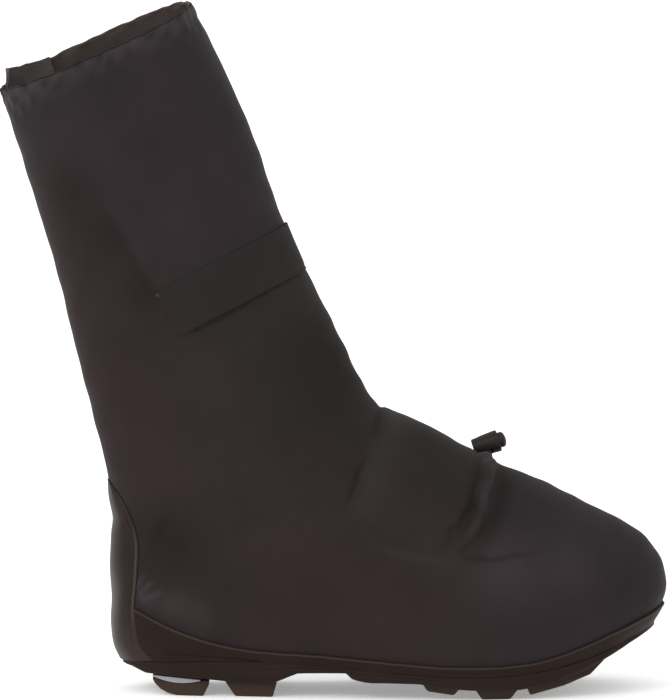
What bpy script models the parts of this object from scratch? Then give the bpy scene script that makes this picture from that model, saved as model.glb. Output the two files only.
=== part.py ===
"""A right overshoe: a tall coated-fabric cover with a lugged rubber sole, at its real size.

Metres, +X to the toe, +Y to the inner side of the foot, +Z up. The pieces are worked out in a
heel frame, x from the back of the heel and z from the floor, and an empty then centres them.
"""

import math
from collections import namedtuple

import bmesh
import bpy
import numpy as np
from mathutils import Matrix, Vector

MM = 0.001

# Driving sizes of the last
FOOT_LENGTH = 300 * MM
BALL_WIDTH = 104 * MM
HEEL_WIDTH = 74 * MM
INSTEP_HEIGHT = 155 * MM

# Walls and the clearance between pieces that meet
WALL = 1.6 * MM
GAP = 0.35 * MM

# Each section of the upper is a closed curve from a back point to a front point of the side profile.
# back_x and front_x are percent of the foot's length, the heights and the dip percent of the instep
# height, heel_half percent of the heel width, ball_half and pinch percent of the ball width. dip is
# how far the section sags under its chord, blunt how square its ends are (2 is an ellipse), swing
# how much of the last's left and right curve it has, roll its percent of fall to the outer side.
Section = namedtuple(
    "Section",
    "name back_x back_z front_x front_z dip heel_half ball_half pinch heel_blunt toe_blunt swing roll",
)
SECTIONS = (
    Section("featherline", 2.4, 11.0, 97.0, 23.5, 11.6, 46.0, 47.1, 5.8, 7.0, 4.6, 1.0, 0),
    Section("rand", 1.1, 17.2, 98.8, 29.6, 10.3, 49.3, 49.5, 5.8, 7.0, 4.5, 1.0, 0),
    Section("side wall", 0.8, 27.1, 99.7, 36.8, 9.0, 50.0, 50.0, 4.8, 7.0, 4.2, 1.0, 0),
    Section("toe box", 0.9, 36.8, 98.0, 46.0, 7.1, 49.3, 48.6, 3.8, 6.5, 3.7, 1.0, 0),
    Section("toe top", 0.9, 45.2, 93.2, 54.4, 5.2, 48.6, 45.7, 2.4, 6.0, 3.1, 0.9, 0),
    Section("vamp", 0.9, 52.9, 85.6, 62.2, 3.2, 48.6, 42.3, 1.0, 5.2, 2.7, 0.75, 0),
    Section("ball", 0.8, 60.0, 75.2, 72.6, 1.9, 48.6, 39.9, 0.0, 4.5, 2.45, 0.6, 0),
    Section("cord line", 0.5, 66.5, 64.6, 83.2, 1.0, 49.3, 38.5, 0.0, 3.8, 2.3, 0.4, 0),
    Section("instep", 0.0, 72.9, 55.0, 92.2, 0.3, 50.7, 38.5, 0.0, 3.2, 2.2, 0.2, 0),
    Section("throat", -1.0, 81.9, 47.3, 99.2, 0.0, 52.0, 38.5, 0.0, 2.7, 2.2, 0.05, 0),
    Section("ankle", -2.7, 94.2, 42.7, 113.0, 0.0, 53.4, 38.9, 0.0, 2.4, 2.2, 0.0, 0),
    Section("low shaft", -5.6, 116.8, 36.2, 138.1, 0.0, 54.7, 39.4, 0.0, 2.2, 2.1, 0.0, 0),
    Section("strap", -9.1, 144.5, 29.7, 165.2, 0.0, 56.1, 39.9, 0.0, 2.1, 2.1, 0.0, 1),
    Section("shaft", -13.5, 173.5, 24.2, 195.5, 0.0, 57.4, 40.9, 0.0, 2.0, 2.0, 0.0, 3),
    Section("collar", -19.0, 207.1, 14.6, 236.1, 0.0, 58.8, 41.8, 0.0, 2.0, 2.0, 0.0, 9),
)
COLUMN_UNITS = Section(
    "unit", *[unit / 100 for unit in (FOOT_LENGTH, INSTEP_HEIGHT, FOOT_LENGTH, INSTEP_HEIGHT)],
    INSTEP_HEIGHT / 100, HEEL_WIDTH / 100, BALL_WIDTH / 100, BALL_WIDTH / 100, 1, 1, 1, 1 / 100,
)
COLUMNS = np.array([row[1:] for row in SECTIONS]) * np.array(COLUMN_UNITS[1:])
COLLAR = len(SECTIONS) - 1

# Where along a section its lobes lie, as a share of its length
HEEL_LOBE = 0.15
BALL_LOBE = 0.66
WAIST = 0.42
WAIST_SPREAD = 0.17
OUTER_PINCH = 0.3
DIP_REAR = 3.0
DIP_FRONT = 1.2
DIP_AT = DIP_REAR / (DIP_REAR + DIP_FRONT)
TOE_SWING = 8 * MM
SIDE_BOW = 4 * MM
SLOPE_STEP = 1e-3
HALVINGS = 30

UPPER_COLUMNS = 56
ROWS_PER_SECTION = 2

# Rand and heel counter, over the upper's lower edge
RAND_THICK = 1.2 * MM
OVERLAY_FOOT = 1.0 * MM
RAND_RISE = 6 * MM
RAND_HEEL_RISE = 43 * MM
RAND_TOE_RISE = 10 * MM
RAND_HEEL_RUN = 90 * MM
RAND_TOE_START = 220 * MM
RAND_TOE_END = 268 * MM
RAND_LEVELS = 5
RAND_END_STEPS = 4
COUNTER_HALF = 24.5 * MM
COUNTER_FOOT_TAPER = -0.08
COUNTER_FOOT_TOP = 3.0
COUNTER_THICK = 1.4 * MM
COUNTER_SHOULDER = 4.0
COUNTER_TOP = 8.0
COUNTER_TIP_HALF = 3 * MM
COUNTER_TIP_ROWS = 6
COUNTER_COLUMNS = 13

# Ankle strap and cord casing: bands whose middle line falls from the front with the angle squared
Band = namedtuple("Band", "front_v drop outer_end inner_end half steps across")
STRAP = Band(11.55, 0.33, math.radians(100), math.radians(100), 13.2 * MM, 30, 4)
STRAP_THICK = 2.0 * MM
CASING = Band(6.7, 2.25, math.radians(70), math.radians(70), 5.5 * MM, 30, 4)
CASING_EDGE = 0.6 * MM
CASING_CROWN = 2.6 * MM
CASING_SEARCH = math.radians(2)

# Tab inside the back of the collar
TAB_FROM = math.radians(122)
TAB_TO = math.radians(176)
TAB_LOW = COLLAR - 0.36
TAB_PROUD_BACK = 6.5 * MM
TAB_PROUD_SIDE = 1.5 * MM
TAB_THICK = 1.2 * MM
TAB_COLUMNS = 11
TAB_ROWS = 4

# Outsole: thickness under the featherline, along percent of its length
SoleStation = namedtuple("SoleStation", "along thick")
SOLE = (
    SoleStation(0.0, 2.0 * MM),
    SoleStation(2.0, 3.2 * MM),
    SoleStation(4.5, 6.4 * MM),
    SoleStation(14.5, 9.6 * MM),
    SoleStation(20.0, 11.2 * MM),
    SoleStation(28.5, 11.2 * MM),
    SoleStation(33.0, 5.2 * MM),
    SoleStation(42.0, 2.8 * MM),
    SoleStation(43.2, 6.0 * MM),
    SoleStation(46.0, 6.9 * MM),
    SoleStation(50.0, 5.8 * MM),
    SoleStation(55.5, 4.7 * MM),
    SoleStation(58.5, 6.0 * MM),
    SoleStation(63.0, 6.7 * MM),
    SoleStation(74.0, 8.2 * MM),
    SoleStation(80.0, 7.6 * MM),
    SoleStation(88.0, 4.8 * MM),
    SoleStation(95.0, 2.4 * MM),
    SoleStation(100.0, 2.2 * MM),
)
SOLE_LIP = GAP + RAND_THICK
SOLE_STEPS = 44
SOLE_INSET = 3.0 * MM
SOLE_INSET_MOST = 0.45

# The sole plate's edge: share of its inset and share of its thickness, from the square top down
SoleEdge = namedtuple("SoleEdge", "inwards down")
SOLE_EDGE = (SoleEdge(0, 0), SoleEdge(0, 0.55), SoleEdge(0.3, 0.85), SoleEdge(1, 1))

# Lugs come in pairs, one each side of a middle channel. x runs along the foot, z is the tread face.
Lug = namedtuple("Lug", "rear_x front_x rear_z front_z rear_draft front_draft")
LUGS = (
    Lug(61 * MM, 91 * MM, 0, 0, 7 * MM, 3 * MM),
    Lug(166 * MM, 188.5 * MM, 4.3 * MM, 2.3 * MM, 4 * MM, 4.5 * MM),
    Lug(194 * MM, 219.5 * MM, 0, 0, 5 * MM, 5.5 * MM),
    Lug(222 * MM, 244 * MM, 2.0 * MM, 7.0 * MM, 2.5 * MM, 0),
    Lug(243 * MM, 270 * MM, 6.75 * MM, 11.0 * MM, 0, 13 * MM),
)
LUG_INSET = 3.5 * MM
LUG_CHANNEL = 8 * MM
LUG_SIDE_DRAFT = 1.5 * MM
LUG_ROOT = 2.0 * MM

# Rear heel lug and the pale layer over it
HeelStation = namedtuple("HeelStation", "x tread")
HEEL_LUG = (
    HeelStation(24 * MM, 8.2 * MM),
    HeelStation(25 * MM, 6.2 * MM),
    HeelStation(28 * MM, 3.2 * MM),
    HeelStation(32 * MM, 1.2 * MM),
    HeelStation(37 * MM, 0),
    HeelStation(44 * MM, 0),
    HeelStation(51 * MM, 0),
    HeelStation(54 * MM, 6.0 * MM),
)
WEDGE_FROM = 22.5 * MM
WEDGE_TO = 51 * MM
WEDGE_THICK = 2.6 * MM
WEDGE_EDGE = 0.25 * MM
WEDGE_TRIM = 1.5 * MM
WEDGE_STEPS = 10

# Cord lock: a barrel lying on the inner slope of the instep, pitched up to the front
LOCK_REAR = Vector((195.5 * MM, 25 * MM, 126.6 * MM))
LOCK_PITCH = math.radians(18)
BARREL_RADIUS = 5.5 * MM
BARREL_LENGTH = 14.5 * MM
BARREL_FLOOR = 2.0 * MM
BORE_RADIUS = 4.5 * MM
EDGE_ROUND = 0.5 * MM
PLUNGER_RADIUS = 4.2 * MM
PLUNGER_REAR = 5.4 * MM
PLUNGER_PROUD = 3.8 * MM
PLUNGER_DOME = 2.0 * MM
DOME_POINTS = 6
PRESS_TRAVEL = 2.5 * MM
CORD_DIAMETER = 2.0 * MM
CORD_SPREAD = 1.1 * MM
SLOT_AT = 8.5 * MM
SLOT_CLEARANCE = 0.35 * MM
BIGHT_POINTS = 7
TURN_STEPS = 24
LockPlace = namedtuple("LockPlace", "slot foot across down along")


def blend(low, high, value):
    """A smooth step from 0 at low to 1 at high."""
    share = min(max((value - low) / (high - low), 0), 1)
    return share * share * (3 - 2 * share)


def along_table(table, column, value):
    """A value read between the rows of a short table."""
    return float(np.interp(value, [row[0] for row in table], [getattr(row, column) for row in table]))


def section_at(v):
    """The section at height number v, on a smooth curve through the table's rows."""
    v = min(max(v, 0), COLLAR)
    row = min(int(v), COLLAR - 1)
    share = v - row
    first, second = COLUMNS[row], COLUMNS[row + 1]
    before = COLUMNS[row - 1] if row else 2 * first - second
    after = COLUMNS[row + 2] if row + 2 <= COLLAR else 2 * second - first
    slope_in, slope_out = (second - before) / 2, (after - first) / 2
    bend = 3 * (second - first) - 2 * slope_in - slope_out
    turn = 2 * (first - second) + slope_in + slope_out
    return Section("between", *(first + share * (slope_in + share * (bend + share * turn))))


def forward_share(angle):
    return (1 + math.cos(angle)) / 2


def section_height(section, forward):
    """Height of a section above the floor, at a share of its length."""
    chord = section.back_z + (section.front_z - section.back_z) * forward
    sag = (forward / DIP_AT) ** DIP_REAR * ((1 - forward) / (1 - DIP_AT)) ** DIP_FRONT
    return chord - section.dip * sag


def lobe_width(section, forward, inner_side):
    """Half width before the ends are rounded."""
    lobe = section.heel_half + (section.ball_half - section.heel_half) * blend(HEEL_LOBE, BALL_LOBE, forward)
    pinch = section.pinch * math.exp(-(((forward - WAIST) / WAIST_SPREAD) ** 2))
    return lobe - pinch * (1 if inner_side else OUTER_PINCH)


def half_width(section, angle):
    blunt = section.toe_blunt if math.cos(angle) > 0 else section.heel_blunt
    round_end = math.sqrt(max(1 - abs(math.cos(angle)) ** blunt, 0))
    return lobe_width(section, forward_share(angle), math.sin(angle) >= 0) * round_end


def centre_line(section, forward):
    return section.swing * (TOE_SWING * forward**2 - SIDE_BOW * math.sin(math.pi * forward))


def upper_point(angle, v):
    """Outside of the upper. Angle 0 is the front, positive on the inner side, pi the back."""
    section = section_at(v)
    forward = forward_share(angle)
    side = 1 if math.sin(angle) >= 0 else -1
    aside = side * half_width(section, angle)
    return Vector((
        section.back_x + (section.front_x - section.back_x) * forward,
        centre_line(section, forward) + aside,
        section_height(section, forward) + section.roll * aside,
    ))


def upper_slopes(angle, v):
    """How the outside of the upper runs with the angle and with the height number."""
    low, high = max(v - SLOPE_STEP, 0), min(v + SLOPE_STEP, COLLAR)
    before, after = upper_point(angle - SLOPE_STEP, v), upper_point(angle + SLOPE_STEP, v)
    round_slope = (after - before) / (2 * SLOPE_STEP)
    return round_slope, (upper_point(angle, high) - upper_point(angle, low)) / (high - low)


def upper_normal(angle, v):
    round_slope, rise_slope = upper_slopes(angle, v)
    return round_slope.cross(rise_slope).normalized()


def over_upper(angle, v, lift):
    """A point that stands off the outside of the upper."""
    return upper_point(angle, v) + upper_normal(angle, v) * lift


def height_number(angle, rise):
    """The height number at which the upper has risen this far above its featherline."""
    start = upper_point(angle, 0).z
    low, high = 0.0, float(COLLAR)
    for _ in range(HALVINGS):
        middle = (low + high) / 2
        if upper_point(angle, middle).z - start < rise:
            low = middle
        else:
            high = middle
    return low


def angle_from_back(v, half):
    """How far round from the back a section has this half width, which is less than its widest."""
    section = section_at(v)
    return math.acos((1 - (half / section.heel_half) ** 2) ** (1 / section.heel_blunt))


def finish(name, colour, roughness):
    """A Principled material from an sRGB colour."""
    material = bpy.data.materials.new(name)
    material.use_nodes = True
    shader = material.node_tree.nodes["Principled BSDF"]
    linear = [((part / 255 + 0.055) / 1.055) ** 2.4 for part in colour]
    shader.inputs["Base Color"].default_value = (*linear, 1)
    shader.inputs["Roughness"].default_value = roughness
    shader.inputs["Metallic"].default_value = 0
    return material


class Workshop:
    """The collections, the centring empty and the finishes that the pieces share."""

    def __init__(self):
        self.parts = bpy.data.collections.new("overshoe")
        self.cutters = bpy.data.collections.new("cutters")
        self.lugs = bpy.data.collections.new("lugs")
        for collection in (self.parts, self.cutters, self.lugs):
            bpy.context.scene.collection.children.link(collection)
        self.frame = bpy.data.objects.new("overshoe_frame", None)
        self.parts.objects.link(self.frame)

    def add(self, name, data, material, parent=None):
        obj = bpy.data.objects.new(name, data)
        data.materials.append(material)
        obj.parent = parent or self.frame
        self.parts.objects.link(obj)
        return obj

    def add_helper(self, name, data, collection, parent=None):
        obj = bpy.data.objects.new(name, data)
        obj.parent = parent or self.frame
        obj.hide_render = True
        obj.display_type = "WIRE"
        collection.objects.link(obj)
        return obj


def mesh_from(name, shape):
    """A smooth-shaded mesh from a bmesh, with its hard edges marked."""
    mesh = bpy.data.meshes.new(name)
    shape.to_mesh(mesh)
    shape.free()
    mesh.shade_smooth()
    mesh.set_sharp_from_angle(angle=math.radians(40))
    return mesh


def open_surface(name, rows, closed):
    """Quads between rows of points that run upwards, facing away from the foot."""
    shape = bmesh.new()
    lines = [[shape.verts.new(point) for point in row] for row in rows]
    count = len(rows[0])
    for low, high in zip(lines, lines[1:]):
        for i in range(count if closed else count - 1):
            j = (i + 1) % count
            shape.faces.new((low[i], low[j], high[j], high[i]))
    return mesh_from(name, shape)


def ring_loft(name, rings):
    """A closed solid through rings with the same number of points, capped at both ends."""
    shape = bmesh.new()
    loops = [[shape.verts.new(point) for point in ring] for ring in rings]
    count = len(rings[0])
    for near, far in zip(loops, loops[1:]):
        for i in range(count):
            j = (i + 1) % count
            shape.faces.new((near[i], near[j], far[j], far[i]))
    shape.faces.new(loops[0])
    shape.faces.new(loops[-1])
    bmesh.ops.recalc_face_normals(shape, faces=shape.faces)
    return mesh_from(name, shape)


def add_wall(obj, thickness, outwards):
    wall = obj.modifiers.new("wall", "SOLIDIFY")
    wall.thickness = thickness
    wall.offset = 1 if outwards else -1
    wall.use_even_offset = True


def add_upper(shop, material):
    heights = np.linspace(0, COLLAR, COLLAR * ROWS_PER_SECTION + 1)
    angles = np.linspace(0, 2 * math.pi, UPPER_COLUMNS, endpoint=False)
    rows = [[upper_point(angle, v) for angle in angles] for v in heights]
    upper = shop.add("upper", open_surface("upper", rows, True), material)
    add_wall(upper, WALL, False)


def rand_rise(x):
    """Height of the rand over the featherline: high at the heel, low at the waist, raised at the toe."""
    heel = (RAND_HEEL_RISE - RAND_RISE) * max(1 - x / RAND_HEEL_RUN, 0) ** 2
    toe = (RAND_TOE_RISE - RAND_RISE) * blend(RAND_TOE_START, RAND_TOE_END, x)
    return RAND_RISE + heel + toe


def rand_height(angle, level):
    """Height number of the rand at a level, 0 at its lower edge and 1 at its upper one."""
    foot = height_number(angle, OVERLAY_FOOT)
    top = height_number(angle, rand_rise(upper_point(angle, 0).x))
    return foot + (top - foot) * level


def rand_point(angle, level, reach):
    """A point of the rand. Past the upper's last whole column it runs on, by reach, to the heel counter."""
    v = rand_height(angle, level)
    for _ in range(3 if reach else 0):
        end = math.copysign(math.pi - angle_from_back(v, counter_half(v) + 2 * GAP), angle)
        v = rand_height(angle + (end - angle) * reach, level)
    return over_upper(angle + (end - angle) * reach if reach else angle, v, GAP)


def add_rand(shop, material):
    """A band from one edge of the heel counter round the toe to the other."""
    step = 2 * math.pi / UPPER_COLUMNS
    last = int((math.pi - angle_from_back(1, COUNTER_HALF)) / step) - 1
    columns = [(step * i, 0) for i in range(-last, last + 1)]
    reaches = [i / RAND_END_STEPS for i in range(1, RAND_END_STEPS + 1)]
    outer_end = [(-step * last, reach) for reach in reversed(reaches)]
    inner_end = [(step * last, reach) for reach in reaches]
    rows = []
    for level in np.linspace(0, 1, RAND_LEVELS):
        rows.append([rand_point(angle, level, reach) for angle, reach in outer_end + columns + inner_end])
    rand = shop.add("rand", open_surface("rand", rows, False), material)
    add_wall(rand, RAND_THICK, True)


def counter_half(v):
    """Half width of the heel counter: straight sides, then a rounded top."""
    climb = min(max((v - COUNTER_SHOULDER) / (COUNTER_TOP - COUNTER_SHOULDER), 0), 1)
    side = COUNTER_HALF * (1 - COUNTER_FOOT_TAPER * (1 - blend(0, COUNTER_FOOT_TOP, v)))
    return COUNTER_TIP_HALF + (side - COUNTER_TIP_HALF) * math.sqrt(1 - climb**2)


def add_heel_counter(shop, material):
    """A tongue up the back of the heel: rows as on the upper, then closer ones round its tip."""
    foot = height_number(math.pi, OVERLAY_FOOT)
    straight = np.arange(1, int(COUNTER_SHOULDER * ROWS_PER_SECTION) + 1) / ROWS_PER_SECTION
    turns = np.linspace(0, math.pi / 2, COUNTER_TIP_ROWS + 1)[1:]
    tip = COUNTER_SHOULDER + (COUNTER_TOP - COUNTER_SHOULDER) * np.sin(turns)
    rows = []
    for v in (foot, *straight, *tip):
        reach = angle_from_back(v, counter_half(v))
        angles = np.linspace(math.pi - reach, math.pi + reach, COUNTER_COLUMNS)
        rows.append([over_upper(angle, v, GAP) for angle in angles])
    counter = shop.add("heel_counter", open_surface("heel_counter", rows, False), material)
    add_wall(counter, COUNTER_THICK, True)


def band_middle(band, angle):
    end = band.inner_end if angle > 0 else band.outer_end
    return band.front_v - band.drop * (angle / end) ** 2


def band_rows(band):
    """Angle and height number over a band: a row of stations for each line along it, lowest first."""
    rows = [[] for _ in range(band.across + 1)]
    for angle in np.linspace(-band.outer_end, band.inner_end, band.steps + 1):
        v = band_middle(band, angle)
        near, far = angle - SLOPE_STEP, angle + SLOPE_STEP
        run = upper_point(far, band_middle(band, far)) - upper_point(near, band_middle(band, near))
        sideways = upper_normal(angle, v).cross(run).normalized()
        slopes = np.array(upper_slopes(angle, v)).T
        for i, row in enumerate(rows):
            offset = band.half * (2 * i / band.across - 1)
            turn, rise = np.linalg.lstsq(slopes, np.array(sideways * offset), rcond=None)[0]
            row.append((angle + turn, v + rise))
    return rows


def add_ankle_strap(shop, material):
    rows = [[over_upper(angle, v, GAP) for angle, v in row] for row in band_rows(STRAP)]
    strap = shop.add("ankle_strap", open_surface("ankle_strap", rows, False), material)
    add_wall(strap, STRAP_THICK, True)


def casing_lift(i):
    """Outer face of the casing over the upper, crowned across its width."""
    across = 2 * i / CASING.across - 1
    return GAP + CASING_EDGE + (CASING_CROWN - CASING_EDGE) * (1 - across**2)


def add_cord_casing(shop, material):
    rows = band_rows(CASING)
    rings = []
    for station in zip(*rows):
        under = [over_upper(angle, v, GAP) for angle, v in station]
        over = [over_upper(angle, v, casing_lift(i)) for i, (angle, v) in enumerate(station)]
        rings.append(under + over[::-1])
    shop.add("cord_casing", ring_loft("cord_casing", rings), material)


def add_collar_tab(shop, material):
    """A tab on the inner face of the collar, from near the back to the inner side."""
    angles = np.linspace(TAB_FROM, TAB_TO, TAB_COLUMNS)
    heights = np.linspace(TAB_LOW, COLLAR, TAB_ROWS)
    rows = [[over_upper(angle, v, -WALL - GAP) for angle in angles] for v in heights]
    rises = [upper_slopes(angle, COLLAR)[1].normalized() for angle in angles]
    prouds = np.linspace(TAB_PROUD_SIDE, TAB_PROUD_BACK, len(angles))
    rows.append([point + rise * proud for point, rise, proud in zip(rows[-1], rises, prouds)])
    tab = shop.add("collar_tab", open_surface("collar_tab", rows, False), material)
    add_wall(tab, TAB_THICK, False)


def sole_span():
    """Back and front of the sole's outline."""
    feather = section_at(0)
    return feather.back_x - SOLE_LIP, feather.front_x + SOLE_LIP


def sole_edges(x):
    """Outer and inner edge of the sole at x."""
    back, front = sole_span()
    feather = section_at(0)
    forward = min(max((x - back) / (front - back), 0), 1)
    angle = math.acos(2 * forward - 1)
    middle = centre_line(feather, forward)
    lip = SOLE_LIP * math.sin(angle)
    return middle - half_width(feather, -angle) - lip, middle + half_width(feather, angle) + lip


def sole_top(x):
    back, front = sole_span()
    return section_height(section_at(0), (x - back) / (front - back)) - GAP


def sole_bottom(x):
    back, front = sole_span()
    return sole_top(x) - along_table(SOLE, "thick", 100 * (x - back) / (front - back))


def sole_ring(x):
    """Cross-section of the sole plate: square top edges, rounded lower ones."""
    outer, inner = sole_edges(x)
    top, bottom = sole_top(x), sole_bottom(x)
    inset = min(SOLE_INSET, SOLE_INSET_MOST * (inner - outer) / 2)
    profile = [(inset * edge.inwards, top + (bottom - top) * edge.down) for edge in SOLE_EDGE]
    left = [Vector((x, outer + inwards, z)) for inwards, z in profile]
    right = [Vector((x, inner - inwards, z)) for inwards, z in profile]
    return left + right[::-1]


def lug_mesh(lug, inner_side):
    """A tapered block, its root inside the sole plate and its tread face flat.

    The channel between a pair is straight and follows the sole's middle line at half its length.
    """
    side = 1 if inner_side else -1
    channel = centre_line(section_at(0), 0.5) + side * LUG_CHANNEL
    shape = bmesh.new()
    bmesh.ops.create_cube(shape, size=2)
    for vert in shape.verts:
        tread = vert.co.z < 0
        front = vert.co.x > 0
        x = lug.front_x if front else lug.rear_x
        outer, inner = sole_edges(x)
        edge = inner - LUG_INSET if inner_side else outer + LUG_INSET
        y = edge if vert.co.y * side > 0 else channel
        z = sole_bottom(x) + LUG_ROOT
        if tread:
            x += -lug.front_draft if front else lug.rear_draft
            y += -side * LUG_SIDE_DRAFT if y == edge else side * LUG_SIDE_DRAFT
            z = lug.front_z if front else lug.rear_z
        vert.co = (x, y, z)
    bmesh.ops.recalc_face_normals(shape, faces=shape.faces)
    return mesh_from("lug", shape)


def add_outsole(shop, material):
    back, front = sole_span()
    angles = np.linspace(math.pi, 0, SOLE_STEPS + 1)[1:-1]
    rings = [sole_ring(back + (front - back) * forward_share(angle)) for angle in angles]
    outsole = shop.add("outsole", ring_loft("outsole", rings), material)
    for lug in LUGS:
        for inner_side in (False, True):
            shop.add_helper("lug", lug_mesh(lug, inner_side), shop.lugs)
    union = outsole.modifiers.new("lugs", "BOOLEAN")
    union.operation = "UNION"
    union.operand_type = "COLLECTION"
    union.collection = shop.lugs


def wedge_stations():
    return np.linspace(WEDGE_FROM + WEDGE_TRIM, WEDGE_TO - WEDGE_TRIM, WEDGE_STEPS + 1)


def wedge_thickness(x):
    """The pale layer is a lens in side view, thickest at its middle."""
    share = min(max((x - WEDGE_FROM) / (WEDGE_TO - WEDGE_FROM), 0), 1)
    return WEDGE_THICK * math.sin(math.pi * share)


def block_ring(x, bottom, top, inset, draft):
    outer, inner = sole_edges(x)
    return [
        Vector((x, outer + inset, top)),
        Vector((x, outer + inset + draft, bottom)),
        Vector((x, inner - inset - draft, bottom)),
        Vector((x, inner - inset, top)),
    ]


def add_heel_wedge(shop, material):
    rings = []
    for x in wedge_stations():
        top = sole_bottom(x) - GAP
        rings.append(block_ring(x, top - wedge_thickness(x) - WEDGE_EDGE, top, LUG_INSET, 0))
    shop.add("heel_wedge", ring_loft("heel_wedge", rings), material)


def add_heel_lug(shop, material):
    """The block under the pale layer, hollowed to its lens and touching the sole in front of it."""
    under_wedge = {x for x in wedge_stations() if x > HEEL_LUG[0].x}
    rings = []
    for x in sorted(under_wedge | {row.x for row in HEEL_LUG}):
        wedge = wedge_thickness(x) + WEDGE_EDGE + GAP if x < WEDGE_TO else 0
        top = sole_bottom(x) - GAP - wedge
        rings.append(block_ring(x, along_table(HEEL_LUG, "tread", x), top, LUG_INSET, LUG_SIDE_DRAFT))
    shop.add("heel_lug", ring_loft("heel_lug", rings), material)


def turned(name, profile):
    """A profile of radius and height, run down its outer side, as an edge chain for a Screw."""
    shape = bmesh.new()
    points = [shape.verts.new((radius, 0, height)) for radius, height in profile]
    for first, second in zip(points, points[1:]):
        shape.edges.new((first, second))
    mesh = bpy.data.meshes.new(name)
    shape.to_mesh(mesh)
    shape.free()
    return mesh


def add_turn(obj):
    screw = obj.modifiers.new("turn", "SCREW")
    screw.steps = screw.render_steps = TURN_STEPS
    screw.use_merge_vertices = True
    screw.merge_threshold = 1e-5
    screw.use_smooth_shade = True


def cut_with(obj, cutter):
    cut = obj.modifiers.new("cut", "BOOLEAN")
    cut.operation = "DIFFERENCE"
    cut.object = cutter


def casing_exit(angle):
    """Where the cord would come out of the casing's crown at this angle."""
    return over_upper(angle, band_middle(CASING, angle), casing_lift(CASING.across / 2) + GAP)


def lock_place():
    """The lock's slot, the cord's foot on the casing, and the lock's own axes.

    across runs over the slot's width, down towards the casing and along with the barrel.
    """
    along = Vector((math.cos(LOCK_PITCH), 0, math.sin(LOCK_PITCH)))
    slot = LOCK_REAR + along * SLOT_AT
    exits = [casing_exit(angle) for angle in np.arange(0, CASING.inner_end, CASING_SEARCH)]
    foot = min(exits, key=lambda point: (point - slot).length)
    down = foot - slot
    down = (down - along * down.dot(along)).normalized()
    return LockPlace(slot, foot, down.cross(along).normalized(), down, along)


def box_mesh(name, size, centre):
    shape = bmesh.new()
    bmesh.ops.create_cube(shape, size=1)
    bmesh.ops.scale(shape, vec=size, verts=shape.verts)
    bmesh.ops.translate(shape, vec=centre, verts=shape.verts)
    return mesh_from(name, shape)


def add_cord_lock(shop, material):
    """Barrel and plunger on one empty whose z is the barrel's axis and whose y points to the casing."""
    place = lock_place()
    stand = bpy.data.objects.new("cord_lock_frame", None)
    stand.parent = shop.frame
    stand.matrix_local = Matrix((place.across, place.down, place.along)).transposed().to_4x4()
    stand.location = LOCK_REAR
    shop.parts.objects.link(stand)

    barrel = shop.add("cord_lock_barrel", turned("cord_lock_barrel", (
        (0, BARREL_FLOOR),
        (BORE_RADIUS, BARREL_FLOOR),
        (BORE_RADIUS, BARREL_LENGTH),
        (BARREL_RADIUS - EDGE_ROUND, BARREL_LENGTH),
        (BARREL_RADIUS, BARREL_LENGTH - EDGE_ROUND),
        (BARREL_RADIUS, EDGE_ROUND),
        (BARREL_RADIUS - EDGE_ROUND, 0),
        (0, 0),
    )), material, stand)
    add_turn(barrel)

    crown = BARREL_LENGTH + PLUNGER_PROUD
    dome = []
    for turn in np.linspace(0, math.pi / 2, DOME_POINTS):
        dome.append((PLUNGER_RADIUS * math.sin(turn), crown - PLUNGER_DOME * (1 - math.cos(turn))))
    shank = [(PLUNGER_RADIUS, PLUNGER_REAR), (0, PLUNGER_REAR)]
    plunger = shop.add("cord_lock_plunger", turned("cord_lock_plunger", dome + shank), material, stand)
    add_turn(plunger)

    width = CORD_DIAMETER + 2 * CORD_SPREAD + 2 * SLOT_CLEARANCE
    slot = CORD_DIAMETER + 2 * SLOT_CLEARANCE
    through = 4 * BARREL_RADIUS
    barrel_slot = box_mesh("barrel_slot", (width, through, slot), (0, 0, SLOT_AT))
    cut_with(barrel, shop.add_helper("barrel_slot", barrel_slot, shop.cutters, stand))
    plunger_slot = box_mesh(
        "plunger_slot", (width, through, slot + PRESS_TRAVEL), (0, 0, SLOT_AT + PRESS_TRAVEL / 2)
    )
    cut_with(plunger, shop.add_helper("plunger_slot", plunger_slot, shop.cutters, stand))


def add_instep_cord(shop, material):
    """A loop of elastic cord: up from the casing, round inside the lock's slot and back."""
    place = lock_place()
    aside, back = place.across * CORD_SPREAD, -place.down * CORD_SPREAD
    mouth = place.slot + place.down * (BARREL_RADIUS + SLOT_CLEARANCE)
    bight = []
    for turn in np.linspace(0, math.pi, BIGHT_POINTS):
        bight.append(place.slot + aside * math.cos(turn) + back * math.sin(turn))
    route = [place.foot + aside, mouth + aside, *bight, mouth - aside, place.foot - aside]
    curve = bpy.data.curves.new("instep_cord", "CURVE")
    curve.dimensions = "3D"
    curve.bevel_depth = CORD_DIAMETER / 2
    curve.bevel_resolution = 2
    curve.use_fill_caps = True
    spline = curve.splines.new("POLY")
    spline.points.add(len(route) - 1)
    for point, place in zip(spline.points, route):
        point.co = (*place, 1)
    shop.add("instep_cord", curve, material)


def centre_on_floor(shop):
    """Move the frame so that the origin lies under the middle of the whole box, on the floor."""
    bpy.context.view_layer.update()
    graph = bpy.context.evaluated_depsgraph_get()
    corners = []
    for obj in shop.parts.objects:
        if obj.type != "EMPTY":
            mesh = obj.evaluated_get(graph).to_mesh()
            corners += [obj.matrix_world @ vert.co for vert in mesh.vertices]
    low = np.min(corners, axis=0)
    high = np.max(corners, axis=0)
    shop.frame.location = (-(low[0] + high[0]) / 2, -(low[1] + high[1]) / 2, -low[2])
    bpy.context.view_layer.update()


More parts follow.
